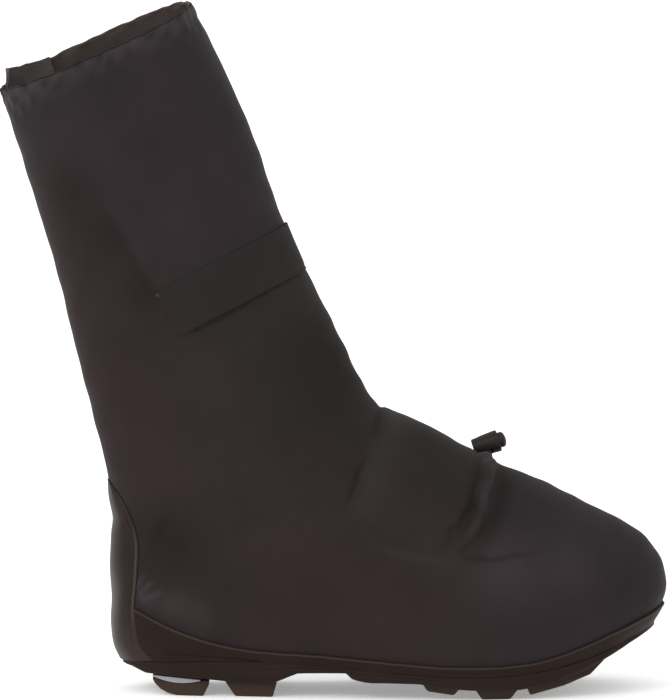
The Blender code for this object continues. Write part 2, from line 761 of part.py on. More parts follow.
def main():
    for obj in list(bpy.data.objects):
        bpy.data.objects.remove(obj, do_unlink=True)
    shop = Workshop()
    fabric = finish("coated nylon", (46, 42, 42), 0.6)
    coated = finish("glossy coated fabric", (52, 45, 44), 0.35)
    rubber = finish("moulded rubber", (52, 45, 41), 0.55)
    skin = finish("rubberised fabric", (44, 37, 34), 0.5)
    webbing = finish("strap fabric", (44, 40, 39), 0.65)
    pale = finish("pale moulded foam", (186, 182, 190), 0.7)
    plastic = finish("acetal", (40, 37, 36), 0.4)
    cord = finish("elastic cord", (36, 33, 33), 0.75)
    add_upper(shop, fabric)
    add_outsole(shop, rubber)
    add_heel_wedge(shop, pale)
    add_heel_lug(shop, rubber)
    add_rand(shop, skin)
    add_heel_counter(shop, coated)
    add_ankle_strap(shop, webbing)
    add_cord_casing(shop, fabric)
    add_collar_tab(shop, webbing)
    add_cord_lock(shop, plastic)
    add_instep_cord(shop, cord)
    centre_on_floor(shop)


if __name__ == "__main__":
    main()
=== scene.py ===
# %% [markdown]
# # A tall overshoe
# A cover of coated fabric that goes over a shoe and up the ankle, on a lugged rubber sole. The solids
# come in as a fixed frame. This lesson builds the finer surfaces round them, one piece at a time, and
# then gives each its material. Everything is in metres, with +X to the toe and +Z up.

# %% Load the frame
import math
from collections import namedtuple
from contextlib import contextmanager

import bpy
import numpy as np
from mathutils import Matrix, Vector


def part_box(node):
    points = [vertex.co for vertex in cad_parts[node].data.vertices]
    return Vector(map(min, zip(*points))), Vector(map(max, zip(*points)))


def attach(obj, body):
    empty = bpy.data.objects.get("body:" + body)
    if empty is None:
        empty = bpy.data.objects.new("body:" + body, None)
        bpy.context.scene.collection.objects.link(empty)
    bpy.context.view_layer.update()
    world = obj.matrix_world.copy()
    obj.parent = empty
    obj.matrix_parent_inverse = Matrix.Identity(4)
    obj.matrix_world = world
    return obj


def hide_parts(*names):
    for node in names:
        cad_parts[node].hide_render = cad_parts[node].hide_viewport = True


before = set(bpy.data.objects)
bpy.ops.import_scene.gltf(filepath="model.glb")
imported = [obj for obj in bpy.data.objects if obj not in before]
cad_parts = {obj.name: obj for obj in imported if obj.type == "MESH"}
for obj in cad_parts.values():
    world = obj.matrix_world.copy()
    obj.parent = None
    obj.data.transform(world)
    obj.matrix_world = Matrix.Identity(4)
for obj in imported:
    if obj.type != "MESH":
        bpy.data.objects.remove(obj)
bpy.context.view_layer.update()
MM = 0.001
print("nodes", sorted(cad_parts))

# %% [markdown]
# ## Camera, floor and light
# The photograph was taken from the side with a long lens, a little above the floor, so the camera stands
# far off and looks down by a few degrees. The floor is a lit white table, so large that it fills the frame
# and so bright that hardly a shadow shows. A pale sky lights it from all round, and large lamps above and
# beside give the soft sheen on the cloth. A backdrop that curves up would do as well, but from so far off
# a flat floor already looks endless.

# %% Camera
CAMERA_DISTANCE = 3.5
CAMERA_ELEVATION = math.radians(5)
FRAME_HEIGHT = 373.7 * MM
SENSOR = 36 * MM
VIEW_DEPTH = 100.0
AIM = Vector((0.0, 0.0, 182.0 * MM))


def add_new(name, operator, **settings):
    """Adds an object by its operator, with nothing else selected, and names it."""
    bpy.ops.object.select_all(action="DESELECT")
    operator(**settings)
    added = bpy.context.object
    added.name = added.data.name = name
    return added


def add_camera():
    back = Vector((0, -math.cos(CAMERA_ELEVATION), math.sin(CAMERA_ELEVATION)))
    camera = add_new(
        "camera", bpy.ops.object.camera_add,
        location=AIM + back * CAMERA_DISTANCE, rotation=(math.pi / 2 - CAMERA_ELEVATION, 0, 0),
    )
    camera.data.sensor_width = SENSOR / MM
    camera.data.lens = SENSOR / MM * CAMERA_DISTANCE / FRAME_HEIGHT
    camera.data.clip_end = VIEW_DEPTH
    bpy.context.scene.camera = camera
    return camera


print("lens", round(add_camera().data.lens, 1), "mm")


# %% Colours and nodes
def linear(hex_colour):
    """An sRGB hex colour as linear RGBA."""
    parts = [int(hex_colour[i:i + 2], 16) / 255 for i in (0, 2, 4)]
    return (*[p / 12.92 if p <= 0.04045 else ((p + 0.055) / 1.055) ** 2.4 for p in parts], 1)


def add_node(tree, kind, inputs=None, **settings):
    """Adds a node. An input is linked where a socket is given, and set where a value is."""
    node = tree.nodes.new(kind)
    for name, value in settings.items():
        setattr(node, name, value)
    for name, value in (inputs or {}).items():
        if isinstance(value, bpy.types.NodeSocket):
            tree.links.new(value, node.inputs[name])
        else:
            node.inputs[name].default_value = value
    return node


def new_material(name, **sockets):
    """A material with a Principled shader, its constant sockets set by name."""
    material = bpy.data.materials.new(name)
    material.use_nodes = True
    tree = material.node_tree
    shader = tree.nodes["Principled BSDF"]
    for socket, value in sockets.items():
        shader.inputs[socket.replace("_", " ")].default_value = value
    return material, tree, shader


print("white in linear light", linear("ffffff"))


# %% Floor, sky and lamps
FLOOR_SIZE = 60.0
FLOOR_GLOW = 0.3
SKY_STRENGTH = 0.9
CEILING_STRENGTH = 0.4
CEILING_SPREAD = math.radians(40)
CEILING_FROM = Vector((-0.3, -0.9, 0.8))
Lamp = namedtuple("Lamp", "name place size watts")
LAMPS = (
    Lamp("key_softbox", (-1.1, -1.5, 1.2), 0.4, 6),
    Lamp("rear_softbox", (-1.3, 0.9, 0.8), 0.8, 1.0),
)


def add_floor():
    """Lit white acrylic, as on a light table: even and matt, so it shows no shadow and no reflection."""
    floor = add_new("studio_floor", bpy.ops.mesh.primitive_plane_add, size=FLOOR_SIZE, location=(0, 0, 0))
    table, _, _ = new_material(
        "lit white acrylic", Base_Color=linear("fdfdfd"), Roughness=0.9,
        Emission_Color=linear("ffffff"), Emission_Strength=FLOOR_GLOW,
    )
    floor.data.materials.append(table)


def add_sky():
    world = bpy.data.worlds.new("pale studio")
    world.use_nodes = True
    bpy.context.scene.world = world
    sky = world.node_tree.nodes["Background"]
    sky.inputs["Color"].default_value = linear("ffffff")
    sky.inputs["Strength"].default_value = SKY_STRENGTH


def add_ceiling():
    """One broad light from above, even over the whole floor."""
    light = add_new("ceiling_light", bpy.ops.object.light_add, type="SUN", location=CEILING_FROM)
    light.data.energy = CEILING_STRENGTH
    light.data.angle = CEILING_SPREAD
    light.rotation_euler = CEILING_FROM.to_track_quat("Z", "Y").to_euler()


def add_lamp(lamp):
    light = add_new(lamp.name, bpy.ops.object.light_add, type="AREA", location=lamp.place)
    light.data.size = lamp.size
    light.data.energy = lamp.watts
    light.rotation_euler = (AIM - Vector(lamp.place)).to_track_quat("-Z", "Y").to_euler()


add_floor()
add_sky()
add_ceiling()
for lamp in LAMPS:
    add_lamp(lamp)
bpy.context.scene.view_settings.view_transform = "Standard"
print("lamps", [lamp.name for lamp in LAMPS])

# %% [markdown]
# ## The shape of the last
# Cloth pieces all lie on one form, so that form is a function: a section for each height, from the
# featherline at the sole to the collar, and a smooth curve through them. The table is the one that the
# solids were made from, so the fine pieces land on the solids with no fitting. Only the collar's front is
# squarer here, where the stiff hem holds the mouth open. A sculpted mesh would do as well for one piece,
# but every overlay would then have to be fitted by hand.

# %% Sections of the last
FOOT_LENGTH = 300 * MM
BALL_WIDTH = 104 * MM
HEEL_WIDTH = 74 * MM
INSTEP_HEIGHT = 155 * MM
WALL = 1.6 * MM
GAP = 0.35 * MM

Section = namedtuple(
    "Section",
    "name back_x back_z front_x front_z dip heel_half ball_half pinch heel_blunt toe_blunt swing roll",
)
# Places and half widths are percents of the foot's own sizes, and roll is a slope in percent
SECTIONS = (
    Section("featherline", 2.4, 11.0, 97.0, 23.5, 11.6, 46.0, 47.1, 5.8, 7.0, 4.6, 1.0, 0),
    Section("rand", 1.1, 17.2, 98.8, 29.6, 10.3, 49.3, 49.5, 5.8, 7.0, 4.5, 1.0, 0),
    Section("side wall", 0.8, 27.1, 99.7, 36.8, 9.0, 50.0, 50.0, 4.8, 7.0, 4.2, 1.0, 0),
    Section("toe box", 0.9, 36.8, 98.0, 46.0, 7.1, 49.3, 48.6, 3.8, 6.5, 3.7, 1.0, 0),
    Section("toe top", 0.9, 45.2, 93.2, 54.4, 5.2, 48.6, 45.7, 2.4, 6.0, 3.1, 0.9, 0),
    Section("vamp", 0.9, 52.9, 85.6, 62.2, 3.2, 48.6, 42.3, 1.0, 5.2, 2.7, 0.75, 0),
    Section("ball", 0.8, 60.0, 75.2, 72.6, 1.9, 48.6, 39.9, 0.0, 4.5, 2.45, 0.6, 0),
    Section("cord line", 0.5, 66.5, 64.6, 83.2, 1.0, 49.3, 38.5, 0.0, 3.8, 2.3, 0.4, 0),
    Section("instep", 0.0, 72.9, 55.0, 92.2, 0.3, 50.7, 38.5, 0.0, 3.2, 2.2, 0.2, 0),
    Section("throat", -1.0, 81.9, 47.3, 99.2, 0.0, 52.0, 38.5, 0.0, 2.7, 2.2, 0.05, 0),
    Section("ankle", -2.7, 94.2, 42.7, 113.0, 0.0, 53.4, 38.9, 0.0, 2.4, 2.2, 0.0, 0),
    Section("low shaft", -5.6, 116.8, 36.2, 138.1, 0.0, 54.7, 39.4, 0.0, 2.2, 2.1, 0.0, 0),
    Section("strap", -9.1, 144.5, 29.7, 165.2, 0.0, 56.1, 39.9, 0.0, 2.1, 2.1, 0.0, 1),
    Section("shaft", -13.5, 173.5, 24.2, 195.5, 0.0, 57.4, 40.9, 0.0, 2.0, 2.0, 0.0, 3),
    Section("collar", -19.0, 207.1, 14.6, 236.1, 0.0, 58.8, 41.8, 0.0, 2.0, 3.8, 0.0, 9),
)
PERCENT_OF = (
    FOOT_LENGTH, INSTEP_HEIGHT, FOOT_LENGTH, INSTEP_HEIGHT, INSTEP_HEIGHT,
    HEEL_WIDTH, BALL_WIDTH, BALL_WIDTH, 100, 100, 100, 1,
)
COLUMNS = np.array([row[1:] for row in SECTIONS]) * np.array(PERCENT_OF) / 100
COLLAR = len(SECTIONS) - 1

# The back of the heel, on the floor, in the frame's own place
LOCK_Y = 25 * MM
barrel_low, barrel_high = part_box("cord_lock_barrel")
HEEL = np.array([
    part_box("upper")[0].x - COLUMNS[COLLAR][0],
    (barrel_low.y + barrel_high.y) / 2 - LOCK_Y,
    0.0,
])
print("heel of the last at", np.round(HEEL / MM, 2), "mm")


# %% A smooth curve through the rows of a table
def through(table, place):
    """Rows read at fractional places, on a smooth curve that runs on straight past the ends."""
    padded = np.vstack([2 * table[0] - table[1], table, 2 * table[-1] - table[-2]])
    row = np.clip(np.floor(place).astype(int), 0, len(table) - 2)
    share = (place - row)[..., None]
    before, first, second, after = (padded[row + i] for i in range(4))
    slope_in, slope_out = (second - before) / 2, (after - first) / 2
    bend = 3 * (second - first) - 2 * slope_in - slope_out
    turn = 2 * (first - second) + slope_in + slope_out
    return first + share * (slope_in + share * (bend + share * turn))


def ease(low, high, value):
    """A smooth step from 0 at low to 1 at high."""
    share = np.clip((value - low) / (high - low), 0, 1)
    return share * share * (3 - 2 * share)


def section_at(v):
    return Section("between", *np.moveaxis(through(COLUMNS, np.asarray(v, float)), -1, 0))


print("half way up the rows, the front is", round(section_at(COLLAR / 2).front_z / MM, 1), "mm high")


# %% A point on the last
HEEL_LOBE = 0.15
BALL_LOBE = 0.66
WAIST = 0.42
WAIST_SPREAD = 0.17
OUTER_PINCH = 0.3
DIP_REAR = 3.0
DIP_FRONT = 1.2
DIP_AT = DIP_REAR / (DIP_REAR + DIP_FRONT)
TOE_SWING = 8 * MM
SIDE_BOW = 4 * MM
SLOPE_STEP = 1e-3


def centre_line(section, forward):
    return section.swing * (TOE_SWING * forward**2 - SIDE_BOW * np.sin(np.pi * forward))


def section_height(section, forward):
    chord = section.back_z + (section.front_z - section.back_z) * forward
    sag = (forward / DIP_AT) ** DIP_REAR * ((1 - forward) / (1 - DIP_AT)) ** DIP_FRONT
    return chord - section.dip * sag


def half_width(section, angle):
    """Half width of a section: heel and ball lobes, pinched at the waist, with rounded ends."""
    cosine = np.cos(angle)
    forward = (1 + cosine) / 2
    lobe = section.heel_half + (section.ball_half - section.heel_half) * ease(HEEL_LOBE, BALL_LOBE, forward)
    pinch = section.pinch * np.exp(-(((forward - WAIST) / WAIST_SPREAD) ** 2))
    blunt = np.where(cosine > 0, section.toe_blunt, section.heel_blunt)
    round_end = np.sqrt(np.maximum(1 - np.abs(cosine) ** blunt, 0))
    return (lobe - pinch * np.where(np.sin(angle) >= 0, 1, OUTER_PINCH)) * round_end


def last_point(angle, v):
    """Outside of the upper. Angle 0 is the front, positive on the inner side, pi the back."""
    angle, v = np.broadcast_arrays(np.asarray(angle, float), np.asarray(v, float))
    section = section_at(v)
    forward = (1 + np.cos(angle)) / 2
    aside = np.where(np.sin(angle) >= 0, 1, -1) * half_width(section, angle)
    return HEEL + np.stack([
        section.back_x + (section.front_x - section.back_x) * forward,
        centre_line(section, forward) + aside,
        section_height(section, forward) + section.roll * aside,
    ], axis=-1)


def last_slopes(angle, v):
    """How the last runs with the angle and with the height number."""
    round_slope = last_point(angle + SLOPE_STEP, v) - last_point(angle - SLOPE_STEP, v)
    rise_slope = last_point(angle, v + SLOPE_STEP) - last_point(angle, v - SLOPE_STEP)
    return round_slope / (2 * SLOPE_STEP), rise_slope / (2 * SLOPE_STEP)


def unit(vectors):
    return vectors / np.linalg.norm(vectors, axis=-1, keepdims=True)


def last_normal(angle, v):
    return unit(np.cross(*last_slopes(angle, v)))


print("collar front", np.round(last_point(0.0, COLLAR) / MM, 1))
print("toe", np.round(last_point(0.0, 2) / MM, 1))

# %% [markdown]
# ## Creases and bulges
# Empty cloth keeps the marks of how it was sewn and folded. Each main crease is given as a route
# over the side of the shoe in millimetres from the back of the heel and from the floor, a height (below
# zero it is a trough) and a width. A cloth simulation would give folds of its own, but not these ones.

# %% Folds, in millimetres of the shoe's side view
Fold = namedtuple("Fold", "name outer inner width route")
FOLDS = (
    Fold("throat crease", -1.7, -1.7, 5.0, ((141, 160), (142, 146), (138, 130), (131, 114), (126, 102))),
    Fold("throat corner", -1.1, -1.1, 1.8, ((146, 172), (145.5, 160), (144.5, 148), (141, 136))),
    Fold("throat crack", -1.2, -0.6, 1.1, ((139, 131), (134, 121), (131.5, 114), (129, 108), (127, 103))),
    Fold("throat ridge", 1.6, 1.2, 6.0, ((150, 155), (149, 138), (144, 121), (139, 106), (134, 95))),
    Fold("instep hollow", -1.4, -1.0, 12, ((170, 138), (170, 118), (168, 100))),
    Fold("behind the casing", -1.6, -1.2, 3.2, ((198, 133), (197, 113), (190, 92), (174, 78))),
    Fold("casing crack", -1.5, -0.8, 1.1, (
        (196, 116), (193.5, 107), (194, 102), (189, 98), (187, 92.5), (182, 90.5), (181, 85), (177.5, 79),
    )),
    Fold("before the casing", -2.0, -1.4, 4.5, ((210, 127), (209, 107), (203, 90), (190, 75))),
    Fold("casing foot crack", -1.2, -0.6, 1.2, ((203, 96), (199, 90), (194, 84), (189, 80), (187, 76))),
    Fold("toe crease", -1.0, -0.9, 5.0, ((154, 80), (175, 77.5), (200, 77), (226, 78), (258, 77))),
    Fold("toe crack", -1.5, -0.6, 1.1, ((186, 76), (197, 75.5), (206, 74.5), (218, 76.5), (232, 77.5))),
    Fold("vamp light edge", 0.8, 0.5, 2.5, ((140, 82), (160, 77), (180, 74.5), (192, 74))),
    Fold("toe bulge", 2.4, 1.6, 8.0, ((186, 62), (215, 68), (245, 69), (274, 63))),
    Fold("toe crown", 2.6, 2.6, 18, ((214, 125), (232, 114), (252, 104), (274, 93), (291, 80), (299, 64))),
    Fold("heel wrinkle low", 1.3, 0.5, 1.5, ((17, 51), (23, 53), (30, 57))),
    Fold("heel wrinkle middle", 1.3, 0.6, 1.3, ((16.5, 53), (20, 57), (25, 62))),
    Fold("heel wrinkle high", 0.9, 0.5, 1.2, ((16, 56), (17.5, 61), (20, 66))),
    Fold("heel hollow", -3.4, -2.2, 11, ((24, 90), (33, 84), (42, 76))),
    Fold("bulge over the rand", 1.8, 1.2, 6.0, ((24, 52), (38, 46), (54, 41), (74, 37))),
    Fold("shaft valley", -3.0, -1.4, 7.0, ((-12, 274), (2, 248), (18, 222), (28, 207), (38, 190))),
    Fold("shaft crease", -0.8, -0.4, 2.6, ((-6, 268), (1, 254), (9, 240), (17, 227), (24, 215), (29, 206))),
    Fold("shaft ridge", 1.8, 0.8, 9.0, ((4, 276), (17, 250), (33, 224))),
    Fold("shaft dent", -1.2, -0.8, 10, ((40, 300), (52, 285), (58, 268))),
    Fold("ankle hollow", -1.6, -1.2, 16, ((112, 196), (118, 176), (122, 160))),
    Fold("ankle bulge", 1.5, 1.2, 20, ((60, 168), (78, 146), (92, 128))),
    Fold("at the strap's edge", -1.3, -0.8, 1.2, (
        (36, 190.3), (52, 198.2), (70, 207.4), (88, 217.5), (112, 231.5),
    )),
    Fold("under the strap", 0.8, 0.6, 7.0, ((42, 182), (75, 199), (108, 218))),
    Fold("full front of the shaft", 2.2, 2.2, 20, (
        (38, 382), (52, 350), (76, 295), (98, 241), (122, 188), (132, 168),
    )),
    Fold("full throat", 2.6, 2.6, 10, (
        (116, 206), (126, 188), (134, 175), (141, 165), (148, 157), (156, 152),
    )),
    Fold("full instep", 1.3, 1.3, 13, ((144, 160), (158, 152), (172, 144.5), (188, 136))),
)
ROUTE_STEPS = 14
FADE_IN = (-0.05, 0.3)
FADE_OUT = (1.05, 0.7)


def route_lift(fold, x, z):
    """Share of a fold's height at side-view places: 1 on its route, fading across it and at its ends."""
    places = np.linspace(0, len(fold.route) - 1, ROUTE_STEPS + 1)
    line = through(np.array(fold.route, float), places)
    nearest = np.full(x.shape, np.inf)
    along = np.zeros(x.shape)
    for i, (start, stop) in enumerate(zip(line, line[1:])):
        run = stop - start
        share = ((x - start[0]) * run[0] + (z - start[1]) * run[1]) / (run @ run)
        share = np.clip(share, 0, 1)
        gap = np.hypot(x - start[0] - share * run[0], z - start[1] - share * run[1])
        closer = gap < nearest
        nearest = np.where(closer, gap, nearest)
        along = np.where(closer, (i + share) / ROUTE_STEPS, along)
    fade = ease(*FADE_IN, along) * ease(*FADE_OUT, along)
    return np.exp(-((nearest / fold.width) ** 2)) * fade


print("folds", len(FOLDS), "from", min(fold.width for fold in FOLDS), "mm wide")


# %% Slack of the cloth, and puckers where the collar's hem is gathered
PUCKER_HEIGHT = 0.7 * MM
PUCKER_DEPTH = 9 * MM
RIM_WAVER = 0.3 * MM
Pucker = namedtuple("Pucker", "count turn slant size")
PUCKERS = (
    Pucker(14, 0.4, 2.4, 0.4), Pucker(23, 1.9, -3.4, 0.5),
    Pucker(37, 4.1, 3.0, 0.35), Pucker(9, 2.6, -4.2, 0.3),
)
SIDE_BLEND = 12
SLACK_HEIGHT = 0.45 * MM
SLACK_WAVES = ((61, 83, 0.3), (-47, 71, 2.1), (33, -58, 4.4))


def rumple(angle, below):
    """Uneven gathers, from about -1 to 1."""
    deep = below / PUCKER_DEPTH
    return sum(p.size * np.sin(p.count * angle + p.turn + p.slant * deep) for p in PUCKERS)


def gathers(angle, below):
    """How far the gathered hem stands out, a given way below the rim."""
    near_rim = np.exp(-(((below - PUCKER_DEPTH / 2) / PUCKER_DEPTH) ** 2))
    return PUCKER_HEIGHT * rumple(angle, below) * near_rim


def slack_lift(x, z):
    """Long soft waves, so that no panel is quite even."""
    waves = [np.sin(x / along * 2 * np.pi + z / up * 2 * np.pi + turn) for along, up, turn in SLACK_WAVES]
    return SLACK_HEIGHT * np.prod(waves, axis=0)


def fold_relief(place, widest=math.inf):
    """Height of the folds, or of the narrow ones, in mm at places in mm from the heel."""
    x, y, z = np.moveaxis(place, -1, 0)
    inner_side = ease(-SIDE_BLEND, SIDE_BLEND, y)
    return sum(
        (fold.outer + (fold.inner - fold.outer) * inner_side) * route_lift(fold, x, z)
        for fold in FOLDS if fold.width <= widest
    )


def cloth_point(angle, v, lift=0.0):
    """A point over the creased outside of the upper. The rim also wavers up and down."""
    plain = last_point(angle, v)
    place = (plain - HEEL) / MM
    round_slope, rise_slope = last_slopes(angle, v)
    below = (COLLAR - v) * np.linalg.norm(rise_slope, axis=-1)
    waver = RIM_WAVER * rumple(angle, 0) * np.exp(-((below / PUCKER_DEPTH) ** 2))
    out = fold_relief(place) * MM + slack_lift(place[..., 0], place[..., 2]) + gathers(angle, below) + lift
    outwards = unit(np.cross(round_slope, rise_slope))
    return plain + outwards * out[..., None] + unit(rise_slope) * waver[..., None]


print("rim of the cloth at the front", np.round(cloth_point(np.array(0.0), np.array(COLLAR)) / MM, 1))

# %% [markdown]
# ## One grid for every cloth piece
# A flat grid is the easiest start for cloth: it has rows and columns, as cloth has warp and weft, and a
# UV map that comes with it. Each vertex is then moved to its place on the last. The UV map is stretched
# to real millimetres, so a weave keeps its size wherever it runs. A shrinkwrap would lay a grid on the
# solid as well, but it knows nothing of where a hem or a seam has to run.


# %% Grid helpers
def vertex_places(piece):
    flat = np.empty(3 * len(piece.data.vertices))
    piece.data.vertices.foreach_get("co", flat)
    return flat.reshape(-1, 3)


def add_grid(name, columns, rows):
    """A grid primitive, and for each vertex its share of the way along both sides."""
    piece = add_new(
        name, bpy.ops.mesh.primitive_grid_add, x_subdivisions=columns, y_subdivisions=rows, size=1,
    )
    along, up, _ = (vertex_places(piece) + 0.5).T
    return piece, along, up


def set_uv(piece, columns, rows, along, up, points):
    """The UV map in metres, measured on the placed grid from its middle column and its lowest row."""
    column = np.rint(along * columns).astype(int)
    row = np.rint(up * rows).astype(int)
    table = np.empty((rows + 1, columns + 1, 3))
    table[row, column] = points
    across = np.zeros((rows + 1, columns + 1))
    across[:, 1:] = np.cumsum(np.linalg.norm(np.diff(table, axis=1), axis=-1), axis=1)
    across -= across[:, columns // 2][:, None]
    height = np.zeros((rows + 1, columns + 1))
    height[1:] = np.cumsum(np.linalg.norm(np.diff(table, axis=0), axis=-1), axis=0)
    corners = np.empty(len(piece.data.loops), int)
    piece.data.loops.foreach_get("vertex_index", corners)
    places = np.stack([across[row, column], height[row, column]], axis=-1)[corners]
    piece.data.uv_layers.active.data.foreach_set("uv", places.ravel().astype(np.float32))


def set_wear_and_highlight(piece, wear_and_highlight):
    """How far each vertex is paler, from 0 to 1: real wear on the treads, painted highlights on the hems and
    the counter.
    """
    layer = piece.data.attributes.new("wear_and_highlight", "FLOAT", "POINT")
    layer.data.foreach_set("value", np.clip(wear_and_highlight, 0, 1).astype(np.float32))


# %% Shape and finish helpers
MERGE = 0.002 * MM
SMOOTH_CLOTH = math.radians(50)


@contextmanager
def edit_mode(action="SELECT"):
    """Edit mode on the active piece, with all of it selected or none."""
    bpy.ops.object.mode_set(mode="EDIT")
    bpy.ops.mesh.select_all(action=action)
    yield
    bpy.ops.object.mode_set(mode="OBJECT")


def place_grid(piece, columns, rows, along, up, points, wear_and_highlight=None):
    """Moves the vertices to their places and closes the seam where two sides of the grid meet."""
    piece.data.vertices.foreach_set("co", points.ravel().astype(np.float32))
    if wear_and_highlight is not None:
        set_wear_and_highlight(piece, wear_and_highlight)
    set_uv(piece, columns, rows, along, up, points)
    with edit_mode():
        bpy.ops.mesh.remove_doubles(threshold=MERGE)
    bpy.ops.object.shade_smooth()


def close_ends():
    """Fills the open ends of the active piece and turns its faces outwards."""
    with edit_mode("DESELECT"):
        bpy.ops.mesh.select_mode(type="EDGE")
        bpy.ops.mesh.select_non_manifold()
        bpy.ops.mesh.fill()
        bpy.ops.mesh.select_all(action="SELECT")
        bpy.ops.mesh.normals_make_consistent(inside=False)


def apply_modifier(piece, kind, **settings):
    modifier = piece.modifiers.new(kind.lower(), kind)
    for name, value in settings.items():
        setattr(modifier, name, value)
    bpy.ops.object.modifier_apply(modifier=modifier.name)


def add_wall(piece, thickness, offset=-1):
    apply_modifier(piece, "SOLIDIFY", thickness=thickness, offset=offset, use_even_offset=True)
    bpy.ops.object.shade_smooth_by_angle(angle=SMOOTH_CLOTH)


def hand_over(piece, slot, *nodes, body="overshoe"):
    """The piece rides on its body and stands for the plain solids, which are hidden."""
    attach(piece, body)
    if nodes:
        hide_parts(*nodes)
    triangles = sum(len(face.vertices) - 2 for face in piece.data.polygons)
    print(piece.name, triangles, "triangles")


print("points closer than", MERGE / MM, "mm are merged")


# %% [markdown]
# ## Upper and lining
# The shell of the cover: one wall of coated fabric from the featherline to the collar, open below, where
# the sole closes it, and open at the top. A grid is wrapped round the last with its seam at the back,
# under the heel counter. It is finest on the outer side, where the creases are. The inner face of the
# wall is seen only through the collar, so it is a second, coarser grid, one wall's thickness further in.
# Solidify would give that wall too, but at twice the faces.

# %% Make the upper
UPPER_COLUMNS = 400
UPPER_ROWS = 235
OUTER_SHARE = 0.6
COLLAR_CROWDING = 0.35
LINING_COLUMNS = 160
LINING_ROWS = 110


def side_angle(share):
    """From 0 at the back to pi at the front, with the steps along the shoe's side nearly even."""
    return (share * np.pi + np.arccos(1 - 2 * share)) / 2


def wrap_angle(along):
    outer = side_angle(np.clip(along / OUTER_SHARE, 0, 1)) - np.pi
    inner = np.pi - side_angle(np.clip((1 - along) / (1 - OUTER_SHARE), 0, 1))
    return np.where(along < OUTER_SHARE, outer, inner)


def wrap_height(up):
    return COLLAR * (up + COLLAR_CROWDING * up * (1 - up))


def make_upper():
    piece, along, up = add_grid("upper_shell", UPPER_COLUMNS, UPPER_ROWS)
    points = cloth_point(wrap_angle(along), wrap_height(up))
    place_grid(piece, UPPER_COLUMNS, UPPER_ROWS, along, up, points)
    return piece


def make_lining():
    piece, along, up = add_grid("upper_lining", LINING_COLUMNS, LINING_ROWS)
    points = cloth_point(wrap_angle(along), wrap_height(up), -WALL)
    place_grid(piece, LINING_COLUMNS, LINING_ROWS, along, up, points)
    with edit_mode():
        bpy.ops.mesh.flip_normals()
    return piece


upper = make_upper()
hand_over(upper, "coated_fabric", "upper")
lining_sheet = make_lining()
hand_over(lining_sheet, "coated_fabric")

# %% [markdown]
# ## Rand
# A rubberised band glued round the foot where the upper meets the sole, high at the heel and low at the
# waist, with a thin rolled hem along its top. It lies on the same last, a little further out. The hem is
# a bead in the band's own thickness, which is how a rolled edge looks from outside. A bevelled curve along
# the top would make the bead as well, but it would be one more piece to fit to the creases.

# %% Where the rand runs
RAND_THICK = 1.2 * MM
OVERLAY_FOOT = 0.3 * MM
OVERLAY_GAP = 0.1 * MM
RAND_RISE = 6 * MM
RAND_HEEL_RISE = 43 * MM
RAND_TOE_RISE = 10 * MM
RAND_HEEL_RUN = 90 * MM
RAND_TOE_START = 220 * MM
RAND_TOE_END = 268 * MM
COUNTER_HALF = 24.5 * MM
COUNTER_FOOT_TAPER = -0.08
COUNTER_FOOT_TOP = 3.0
COUNTER_SHOULDER = 4.0
COUNTER_TOP = 8.0
COUNTER_TIP_HALF = 3 * MM
HALVINGS = 24


def height_number(angle, rise):
    """The height number at which the last has risen this far above its featherline."""
    start = last_point(angle, 0)[..., 2]
    low, high = np.zeros(np.shape(angle)), np.full(np.shape(angle), float(COLLAR))
    for _ in range(HALVINGS):
        middle = (low + high) / 2
        short = last_point(angle, middle)[..., 2] - start < rise
        low, high = np.where(short, middle, low), np.where(short, high, middle)
    return low


def rand_rise(x):
    heel = (RAND_HEEL_RISE - RAND_RISE) * np.maximum(1 - x / RAND_HEEL_RUN, 0) ** 2
    return RAND_RISE + heel + (RAND_TOE_RISE - RAND_RISE) * ease(RAND_TOE_START, RAND_TOE_END, x)


def rand_height(angle, level):
    foot = height_number(angle, OVERLAY_FOOT)
    top = height_number(angle, rand_rise(last_point(angle, 0)[..., 0] - HEEL[0]))
    return foot + (top - foot) * level


def counter_half(v):
    climb = np.clip((v - COUNTER_SHOULDER) / (COUNTER_TOP - COUNTER_SHOULDER), 0, 1)
    side = COUNTER_HALF * (1 - COUNTER_FOOT_TAPER * (1 - ease(0, COUNTER_FOOT_TOP, v)))
    return COUNTER_TIP_HALF + (side - COUNTER_TIP_HALF) * np.sqrt(1 - climb**2)


def angle_from_back(v, half):
    section = section_at(v)
    return np.arccos((1 - (half / section.heel_half) ** 2) ** (1 / section.heel_blunt))


print("rand at the back", round(rand_rise(0.0) / MM, 1), "mm high, at the toe", round(rand_rise(0.3) / MM, 1))


# %% Make the rand
RAND_COLUMNS = 300
RAND_ROWS = 34
HEM_AT = 0.7 * MM
HEM_SPREAD = 0.45 * MM
HEM_BEAD = 0.3 * MM
LINE_HEIGHT = 6.5 * MM
LINE_RUN = 85 * MM
LINE_WIDTH = 0.7 * MM
LINE_DEPTH = 0.7 * MM
HEM_THINNING = 0.6
# How pale the painted highlight along the hem is
RAND_HEM_HIGHLIGHT = 0.45
HEM_CROWDING = 1.4
FIRST_END = np.radians(150)
END_PASSES = 5


